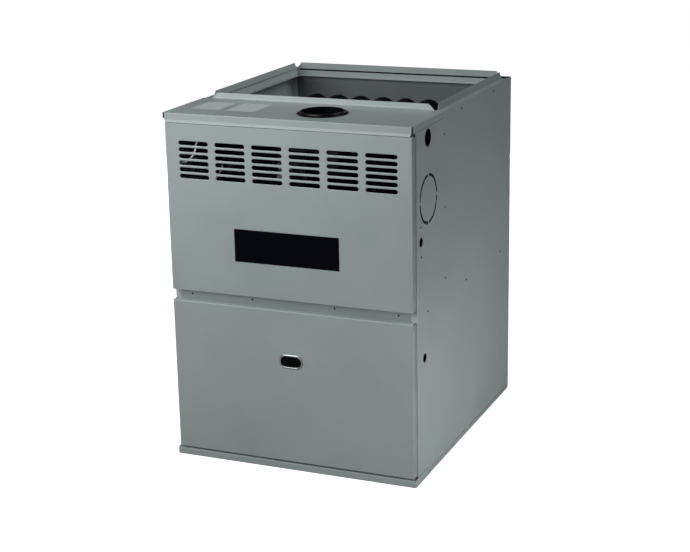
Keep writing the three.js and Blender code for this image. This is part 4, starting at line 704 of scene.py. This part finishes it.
def casing_side(side):
    work = bmesh.new()
    y0, y1 = fold_line, side_high.y
    disc_centre, fold_end = (y0 + 75 * mm, 672 * mm), 296.15 * mm
    on_wall, on_fold, in_plan = (mirrored(side, place) for place in (lengthways, upright, flat))
    holes = [(circle((y0 + y * mm, z * mm), r * mm), circle((y0 + y * mm, z * mm), (r + 1) * mm))
             for y, z, r in ((73, 813, 20.5), (25, 582, 11.1), (46.5, 299.8, 11.1))]
    holes += [(tie_slit(disc_centre, 58.4 * mm, 6.6 * mm, 8 * mm, quarter),
               tie_slit(disc_centre, 59.8 * mm, 9.4 * mm, 5 * mm, quarter)) for quarter in range(4)]
    edge = [(y0 + bend + mm, side_low.z), (y1 - bend - mm, side_low.z), (y1 - bend - mm, side_high.z - bend),
            (y0 + bend + mm, side_high.z - bend)]
    plate(work, edge, holes, wall_x, wall_x - gauge, on_wall)
    slots = [[(tongue_x + a * 1.75 * mm, z + b * 13 * mm) for a, b in ((-1, -1), (1, -1), (1, 1), (-1, 1))]
             for z in tongue_heights]
    fold_edge = [(fold_end, side_low.z), (wall_x - bend - mm, side_low.z),
                 (wall_x - bend - mm, side_high.z), (fold_end, side_high.z)]
    plate(work, fold_edge, slots, y0, y0 + gauge, on_fold)
    folded(work, [(wall_x - bend - mm, y0), (wall_x, y0), (wall_x, y0 + bend + mm)], gauge, bend, side_low.z,
           side_high.z, in_plan)
    folded(work, [(wall_x, y1 - bend - mm), (wall_x, y1), (295.15 * mm, y1)], gauge, bend, side_low.z,
           side_high.z - bend, in_plan)
    folded(work, [(wall_x, side_high.z - bend), (wall_x, side_high.z), (290.3 * mm, side_high.z)],
           gauge, 1.2 * mm, y0 + bend, y0 + 672 * mm, on_fold)
    slab(work, (side * (wall_x - gauge), y0 + 672 * mm, side_high.z - bend),
         (side * wall_x, y1 - bend - mm, side_high.z))
    name = "right" if side > 0 else "left"
    to_part(side_paint_with_painted_light, f"casing_{name}", work, "cabinet", "cabinet_paint", f"{name}_side_panel")
    # Painted shade: thin black sheets behind the disc's slits.
    slit_shade_sheets = bmesh.new()                           # thin black sheets that keep the disc's slits dark
    for quarter in range(4):
        plate(slit_shade_sheets, tie_slit(disc_centre, 59.1 * mm, 8 * mm, 6.6 * mm, quarter), [],
              wall_x - 0.3 * mm, wall_x - 0.7 * mm, on_wall)
    to_part(black_enamel_and_painted_shade, f"disc_slit_shade_{name}", slit_shade_sheets, "cabinet", "black_paint")
    marks = bmesh.new()
    for y, z in ((117, 358), (123, 30), (680, 22), (676, 357)):
        for size_y, size_z in ((25, 1.4), (1.4, 25)):
            corner = [(wall_x + (0.28 if lift else -0.1) * mm, y0 + (y - size_y * u) * mm,
                       (z + size_z * v) * mm) for lift in (0, 1) for u, v in ((0, 0), (1, 0), (1, 1), (0, 1))]
            made = [marks.verts.new((side * c[0], c[1], c[2])) for c in corner]
            for quad in ((4, 5, 6, 7), (0, 1, 5, 4), (1, 2, 6, 5), (2, 3, 7, 6), (3, 0, 4, 7)):
                marks.faces.new([made[q] for q in quad])
    to_part(cabinet_paint, f"return_corner_marks_{name}", marks, "cabinet", "cabinet_paint")
    # Black domed heads for the inner panels' rivets: their black is painted shade, as dark as open holes
    # look.
    rivets = bmesh.new()
    head = [(radius * mm, wall_x + proud * mm)
            for radius, proud in ((2.5, -0.2), (2.5, 0.3), (2.1, 0.8), (1.3, 1.1), (0.4, 1.2))]
    for y, z in rivet_places:
        rivet_head(rivets, (y0 + y * mm, z * mm), head, on_wall)
    to_part(black_enamel_and_painted_shade, f"rivets_in_painted_shade_{name}", rivets, "cabinet", "black_paint")


for side in (1, -1):
    casing_side(side)

# ------------------------------------------------------------------ rear panel and its screws
# A flat sheet folded forward over the top. Zinc plated hex washer head screws with 6.35 mm
# hexagons are driven from behind into the side panels' rear folds; four more, drawn low, sit on
# each side wall near the rear edge.


def hex_screw(work, seat, outward, rise=1.0):
    """Washer, hexagon with a chamfered top and a shallow dimple, on an axis-aligned direction."""
    axis = Vector(outward)
    side_a = axis.orthogonal().normalized()
    side_b = axis.cross(side_a)
    hexagon = 6.35 * mm / math.sqrt(3)
    levels = [(4.55 * mm, 0, 24), (4.55 * mm, 0.5 * mm, 24), (4.1 * mm, 0.85 * mm, 24),
              (hexagon, 0.9 * mm, 6), (hexagon, 2.25 * mm, 6), (hexagon * 0.86, 2.55 * mm, 6),
              (hexagon * 0.6, 2.55 * mm, 6), (hexagon * 0.5, 2.2 * mm, 6)]
    loops = []
    for radius, height, sides in levels:
        loop = []
        for k in range(24):
            angle = 2 * math.pi * k / 24
            if sides == 6:
                part = (angle % (math.pi / 3)) - math.pi / 6
                reach = radius * math.cos(math.pi / 6) / math.cos(part)
            else:
                reach = radius
            around = side_a * math.cos(angle) + side_b * math.sin(angle)
            loop.append(work.verts.new(Vector(seat) + axis * height * rise + around * reach))
        loops.append(loop)
    capped(work, loops)


rear_low, rear_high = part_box("rear_panel")
rear_plane = fold_line + 705 * mm
work = bmesh.new()
folded(work, [(rear_plane, rear_low.z), (rear_plane, rear_high.z), (rear_low.y + 5.5 * mm, rear_high.z)],
       gauge, bend, rear_low.x, rear_high.x, lengthways)
# Painted shade on the rear sheet: its inner face, which looks forward, is 0.45 times as dark.
rear_paint_with_painted_shade = powder_coat("grey_green_powder_coat_with_painted_shade_on_rear", "7F8888", "879090", 0.42, forward=0.45)
to_part(rear_paint_with_painted_shade, "rear_sheet", work, "cabinet", "cabinet_paint", "rear_panel")
work = bmesh.new()
for height in (42, 296.5, 548, 836):
    for side in (-1, 1):
        hex_screw(work, (side * 303.15 * mm, rear_plane, height * mm), (0, 1, 0))
        hex_screw(work, (side * wall_x, rear_plane - 9 * mm, height * mm), (side, 0, 0), 0.48)
to_part(zinc, "rear_screws", work, "cabinet", "galvanised_steel")

# ------------------------------------------------------------------ top plate
# One sheet: a flared drip lip, the front flange, the top with its vent hole and four pilot
# holes, and the flange that stands up along the front of the supply opening.

top_low, top_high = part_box("top_plate")
half_top, flange_face, top_face = top_high.x, top_low.y + 2 * mm, side_high.z + 1.3 * mm
flare = top_low.z + 6.5 * mm
rise_line = fold_line + 185 * mm
flange_end, duct_end = wall_x - 4.5 * mm, 287 * mm
work = bmesh.new()


def lip_end(a, b, along):
    tuck = max(0.0, flare - b) * 4 / 6.5
    return math.copysign(abs(along) - tuck, along), a, b


def rise_end(a, b, along):
    return math.copysign(abs(along) - max(0.0, b - top_face), along), a, b


side_start = flange_face + 2.4 * mm
right_edge = [(half_top, flange_face + bend), (half_top, side_start), (half_top - 2 * mm, side_start),
              (half_top - 2 * mm, rise_line - 3 * mm), (half_top, rise_line - 3 * mm), (half_top, rise_line),
              (duct_end, rise_line), (duct_end, rise_line - 4.2 * mm)]
holes = [circle(vent_centre, 51 * mm, 96)]
holes += [circle((x * mm, fold_line + y * mm), 1.4 * mm, 12)
          for x, y in ((-99.9, 165), (97.8, 166), (230, 76), (263, 76.5))]
plate(work, right_edge + [(-x, y) for x, y in right_edge[::-1]], holes, top_face, top_face - gauge, flat)
folded(work, [(flange_face + bend, top_face), (flange_face, top_face), (flange_face, flare),
              (top_low.y, top_low.z)], gauge, bend, -flange_end, flange_end, lip_end)
for side in (-1, 1):
    folded(work, [(side * half_top, top_face - 14.5 * mm), (side * half_top, top_face),
                  (side * (half_top - 2 * mm), top_face)], side * gauge, 1.5 * mm, side_start,
           rise_line - 3 * mm, upright)
to_part(cabinet_paint, "top_sheet", work, "cabinet", "cabinet_paint", "top_plate")
work = bmesh.new()
# Painted shadow: a thin black strip under the edge where the top laps over each side wall.
for side in (-1, 1):                              # dark line where the top laps over each side wall
    slab(work, (side * wall_x, fold_line + 2 * mm, top_face - 15.5 * mm),
         (side * (wall_x + 0.7 * mm), rise_line - 6 * mm, top_face - 14.6 * mm))
to_part(black_enamel_and_painted_shade, "top_side_lap_shadows", work, "cabinet", "black_paint")
work = bmesh.new()
folded(work, [(rise_line, top_high.z), (rise_line, top_face), (rise_line - 4.2 * mm, top_face)],
       gauge, 4 * mm, -duct_end, duct_end, rise_end)
# The upstand is painted paler than the rest of the casing: painted light.
upstand_paint_with_painted_light = powder_coat("grey_green_powder_coat_with_painted_light_on_upstand", "969F9F", "9EA7A7", 0.42)
to_part(upstand_paint_with_painted_light, "top_sheet_upstand", work, "cabinet", "cabinet_paint")

# ------------------------------------------------------------------ middle rail and deck lip
# A painted rail closes the casing between the doors. Four dark heads along the deck's front lip
# are taken to be rivets.

rounded_copy(cabinet_paint, "middle_rail_formed", "middle_rail", "cabinet", 50)
work = bmesh.new()
head = [(radius * mm, fold_line + depth * mm)
        for radius, depth in ((3.3, 1.4), (3.3, 0.9), (2.6, 0.5), (1.2, 0.3))]
for x in (-264.6, -105.7, 106.3, 265):
    rivet_head(work, (x * mm, 411.8 * mm), head)
to_part(black_enamel_and_painted_shade, "deck_lip_rivets", work, "cabinet", "black_paint")

# ------------------------------------------------------------------ supply duct flanges
# Round the other three sides of the supply opening a flange hangs inside, turns in at its foot
# and stands up for the duct; slits along the crease let the duct's edge be folded over.

duct_low, duct_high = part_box("duct_flange_right")
rear_duct_low, rear_duct_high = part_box("duct_flange_rear")
foot, crest, crease = duct_low.z, duct_high.z, side_high.z
duct_x, duct_y = duct_high.x, rear_duct_high.y
# Painted light on the side duct rails: faces that look sideways are 1.3 times paler.
rail_paint_with_painted_light = powder_coat("grey_green_powder_coat_with_painted_light_on_rails", "7F8888", "879090", 0.42, sideways=1.3)
for side in (-1, 1):
    start, stop = duct_low.y, duct_high.y
    work = bmesh.new()
    wall = [(start, foot + bend), (stop, foot + bend), (stop, crease), (duct_y - 4 * mm, crease),
            (duct_y - 17 * mm, crest), (fold_line + 207.7 * mm, crest), (fold_line + 199 * mm, crease),
            (start, crease)]
    slit = [(start + 25 * mm, crease - 2.6 * mm), (duct_y - 14 * mm, crease - 2.6 * mm),
            (duct_y - 14 * mm, crease - 0.9 * mm), (start + 25 * mm, crease - 0.9 * mm)]
    plate(work, wall, [slit], duct_x, duct_x - gauge, mirrored(side, lengthways))
    folded(work, [(duct_x, foot + bend), (duct_x, foot), (duct_low.x, foot)], -gauge, bend, start, stop,
           mirrored(side, upright))
    name = "right" if side > 0 else "left"
    to_part(rail_paint_with_painted_light, f"duct_rail_{name}", work, "cabinet", "cabinet_paint", f"duct_flange_{name}")
work = bmesh.new()
inner_end, outer_end = duct_x - 11.3 * mm, duct_x
wall = [(-outer_end, foot + bend), (outer_end, foot + bend), (outer_end, crease), (outer_end - mm, crease),
        (outer_end - 14 * mm, crest), (14 * mm - outer_end, crest), (mm - outer_end, crease),
        (-outer_end, crease)]
slit = [(7 * mm - outer_end, crease - 4.6 * mm), (outer_end - 30 * mm, crease - 4.6 * mm),
        (outer_end - 30 * mm, crease - 0.6 * mm), (7 * mm - outer_end, crease - 0.6 * mm)]
plate(work, wall, [slit], duct_y, duct_y - gauge, upright)
folded(work, [(duct_y, foot + bend), (duct_y, foot), (rear_duct_low.y, foot)], -gauge, bend,
       -inner_end, inner_end, lengthways)
to_part(cabinet_paint, "duct_rail_rear", work, "cabinet", "cabinet_paint", "duct_flange_rear")
# Painted shade: a thin black back behind the rear slit.
work = bmesh.new()                               # a black back keeps the rear slit dark
slab(work, (slit[0][0], duct_y - 0.9 * mm, slit[0][1]), (slit[1][0], duct_y - 0.25 * mm, slit[2][1]))
to_part(black_enamel_and_painted_shade, "duct_rail_slit_shade_rear", work, "cabinet", "black_paint")

# ------------------------------------------------------------------ plain labels
# Two plain pale labels of thin polyester film, stuck to the top plate left of the vent and cut
# with small round corners.

# Thin grey polyester: matt, a little lighter than the paint.
label = even_finish("grey_polyester_label", "9CA6A5", "A6B0AF", 12 * mm, 4.0, 0.5)
for x0, x1, y0, y1 in ((-271, -197, 44, 138), (-179, -106, 43, 142)):
    work = bmesh.new()
    corners = (x0 * mm, fold_line + y0 * mm), (x1 * mm, fold_line + y1 * mm)
    loops = [ring(work, pan_outline(*corners, 0, 1.5 * mm), top_face + lift, flat) for lift in (0, 0.12 * mm)]
    bridge(work, loops)
    skin(work, loops[:1])
    skin(work, loops[1:])
    to_part(label, f"plain_label_{'left' if x0 < -200 else 'middle'}", work, "cabinet", "cabinet_paint")

# ------------------------------------------------------------------ floor panel and bottom rail
# The floor's sides are folded up outside the walls; a channel closes the front under the blower
# door and a tab of it wraps round each side. Pilot holes take the screws of a base.

base_low, base_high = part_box("bottom_panel")
rail_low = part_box("bottom_front_rail")[0]
lip_start, lip_stop = fold_line + 76 * mm, fold_line + 693 * mm
work = bmesh.new()
slab(work, (-half_top + 2 * mm, base_low.y, 0), (half_top - 2 * mm, base_high.y, gauge))
for side in (-1, 1):
    plate(work, [(lip_start, 1.6 * mm), (lip_stop, 1.6 * mm), (lip_stop, 11 * mm), (lip_start, 11 * mm)],
          [circle((fold_line + y * mm, 7.6 * mm), 1.4 * mm, 12) for y in (135, 630)], half_top,
          half_top - gauge, mirrored(side, lengthways))
    folded(work, [(side * half_top, 1.6 * mm), (side * half_top, 0), (side * (half_top - 2.2 * mm), 0)],
           -side * gauge, 1.5 * mm, lip_start, lip_stop, upright)
to_part(cabinet_paint, "floor_pan", work, "cabinet", "cabinet_paint", "bottom_panel")
work = bmesh.new()
folded(work, [(fold_line - 1.3 * mm, 17.5 * mm), (rail_low.y, 17.5 * mm), (rail_low.y, 0),
              (fold_line + 15 * mm, 0)], gauge, bend, -half_top + 1.2 * mm, half_top - 1.2 * mm, lengthways)
for side in (-1, 1):
    front, back = rail_low.y, fold_line + 71 * mm
    tab = [(front + 0.5 * mm, 2.5 * mm), (front + 1.2 * mm, 1.0 * mm), (front + 2.5 * mm, 0.5 * mm),
           (back, 0), (back, 15 * mm), (back - 5 * mm, 19.6 * mm), (front + 5.5 * mm, 19.6 * mm),
           (front + 1.2 * mm, 17 * mm), (front + 0.5 * mm, 15.5 * mm)]
    plate(work, tab, [circle((fold_line + y * mm, 7.4 * mm), 1.4 * mm, 12) for y in (25, 64)], half_top,
          half_top - gauge, mirrored(side, lengthways))
    slab(work, (side * (half_top - 1.3 * mm), front, 1.6 * mm),
         (side * half_top, front + 1.2 * mm, 16.4 * mm))
to_part(cabinet_paint, "bottom_channel", work, "cabinet", "cabinet_paint", "bottom_front_rail")

# ------------------------------------------------------------------ draft inducer
# Scroll housing pressed from steel and baked black, open-frame motor on its face with a small
# plastic cooling fan in front, and a riveted steel wheel inside.

rounded_copy(black_enamel_and_painted_shade, "inducer_scroll", "inducer_housing", "cabinet")
rounded_copy(galvanised, "inducer_blower_wheel", "inducer_wheel", "inducer_rotor")
rounded_copy(galvanised, "inducer_motor_frame", "inducer_motor", "cabinet")


def moulded_plastic(name, dark, light, shine, depth=0.0):
    """Moulded thermoplastic with a fine spark-eroded texture."""
    return even_finish(name, dark, light, 0.8 * mm, 2.0, shine, {"Subsurface Weight": depth},
                       (0.2, 0.02 * mm))


black_nylon = moulded_plastic("black_nylon", "0B0C0D", "121415", 0.45)
rounded_copy(black_nylon, "inducer_fan", "inducer_cooling_fan", "inducer_rotor")

# ------------------------------------------------------------------ burners' gas train
# Die-cast gas valve with a plastic lever, black steel manifold with a spud for each burner,
# silicon carbide igniter and ceramic-bodied flame rod, roll-out switches with red buttons, and
# the inducer's pressure switch.

cast = sheet_metal("die_cast_aluminium", "4B4E4F", "5A5D5D", 2 * mm, 0.45, 0.85)
rounded_copy(black_enamel_and_painted_shade, "manifold_pipe", "gas_manifold", "cabinet")
rounded_copy(cast, "gas_valve_casting", "gas_valve", "cabinet", 30)
rounded_copy(black_nylon, "gas_valve_knob", "gas_valve_lever", "gas_valve_lever")

# Unglazed steatite: off-white, matt.
steatite = even_finish("unglazed_steatite", "CFCABD", "DFDBCF", 2 * mm, 4.0, 0.7)
rounded_copy(steatite, "igniter", "hot_surface_igniter", "cabinet")
rounded_copy(steatite, "flame_rod", "flame_sensor", "cabinet")
red_nylon = moulded_plastic("red_nylon", "8E1512", "A01D18", 0.4)
for side in ("right", "left"):
    rounded_copy(black_nylon, f"rollout_limit_{side}", f"rollout_switch_{side}", "cabinet")
    rounded_copy(red_nylon, f"reset_pin_{side}", f"reset_button_{side}", f"rollout_reset_{side}")
rounded_copy(black_nylon, "pressure_switch_body", "pressure_switch", "cabinet")

# ------------------------------------------------------------------ pressure hose
# A hose of white silicone rubber, pushed on the pressure switch's port and the collector box's.
# It bends down and forward, then rises in an arc behind the louvres.

white_rubber = moulded_plastic("white_silicone_rubber", "DDDFDA", "EAECE8", 0.45, 0.15)
hose_radius, hose_sides, steps = 2.3, 12, 6      # the radius in millimetres
hose_path = [Vector((x * mm, fold_line + y * mm, z * mm)) for x, y, z in (
    (-240, 146.4, 702), (-240, 134, 701), (-243, 126, 686), (-262, 118, 660), (-288, 100, 644),
    (-303, 66, 642), (-304, 34, 656), (-304, 22, 684), (-302, 10, 712), (-294, 4, 728),
    (-284, 2, 731), (-271.5, 9, 733),
    (-258, 17, 745), (-249.5, 17, 761), (-244.5, 18, 780),
    (-226, 26, 806), (-186, 44, 815), (-150, 62, 806), (-136, 76, 782), (-140, 84, 758), (-149, 94, 745),
    (-150, 104, 742), (-150, 107.5, 742))]
work = bmesh.new()
loops = []
side_a = Vector((1, 0, 0))
for last, here, ahead, beyond in zip(hose_path, hose_path[1:], hose_path[2:], hose_path[3:]):
    for k in range(steps):
        t = k / steps
        spot = 0.5 * (2 * here + (ahead - last) * t + (2 * last - 5 * here + 4 * ahead - beyond) * t ** 2
                      + (3 * here - last - 3 * ahead + beyond) * t ** 3)
        heading = ((ahead - last) + 2 * (2 * last - 5 * here + 4 * ahead - beyond) * t
                   + 3 * (3 * here - last - 3 * ahead + beyond) * t ** 2).normalized()
        side_a = (side_a - heading * side_a.dot(heading)).normalized()
        side_b = heading.cross(side_a)
        angles = [2 * math.pi * j / hose_sides for j in range(hose_sides)]
        loops.append([work.verts.new(spot + (side_a * math.cos(a) + side_b * math.sin(a)) * hose_radius * mm)
                      for a in angles])
capped(work, loops)
to_part(white_rubber, "pressure_tube", work, "cabinet", "white_silicone", "pressure_hose")

# ------------------------------------------------------------------ blower
# Galvanised scroll hung under the deck, a wheel with forward-curved blades, and a motor in a
# cast aluminium shell that hangs in the left inlet on a band with three arms.

rounded_copy(galvanised, "blower_scroll", "blower_housing", "cabinet", 25)
rounded_copy(galvanised, "blower_cage", "blower_wheel", "blower_wheel", 25)
rounded_copy(cast, "blower_motor_shell", "blower_motor", "cabinet", 30)

# ------------------------------------------------------------------ controls
# A bent galvanised plate under the deck carries the control board, the transformer and the run
# capacitor; the door switch hangs under the middle rail.

# Glass-epoxy board under green solder mask: glossy green, its weave just showing.
board_laminate = even_finish("green_glass_epoxy", "123F22", "1B5430", 4 * mm, 3.0, 0.35)
dress(board_laminate, "control_board")
dress(black_enamel_and_painted_shade, "transformer")
rounded_copy(cast, "capacitor_can", "run_capacitor", "cabinet")
dress(black_nylon, "door_switch")
white_nylon = moulded_plastic("white_nylon", "C8CAC6", "D6D8D4", 0.45, 0.1)
rounded_copy(white_nylon, "switch_plunger", "door_switch_plunger", "door_switch_plunger")
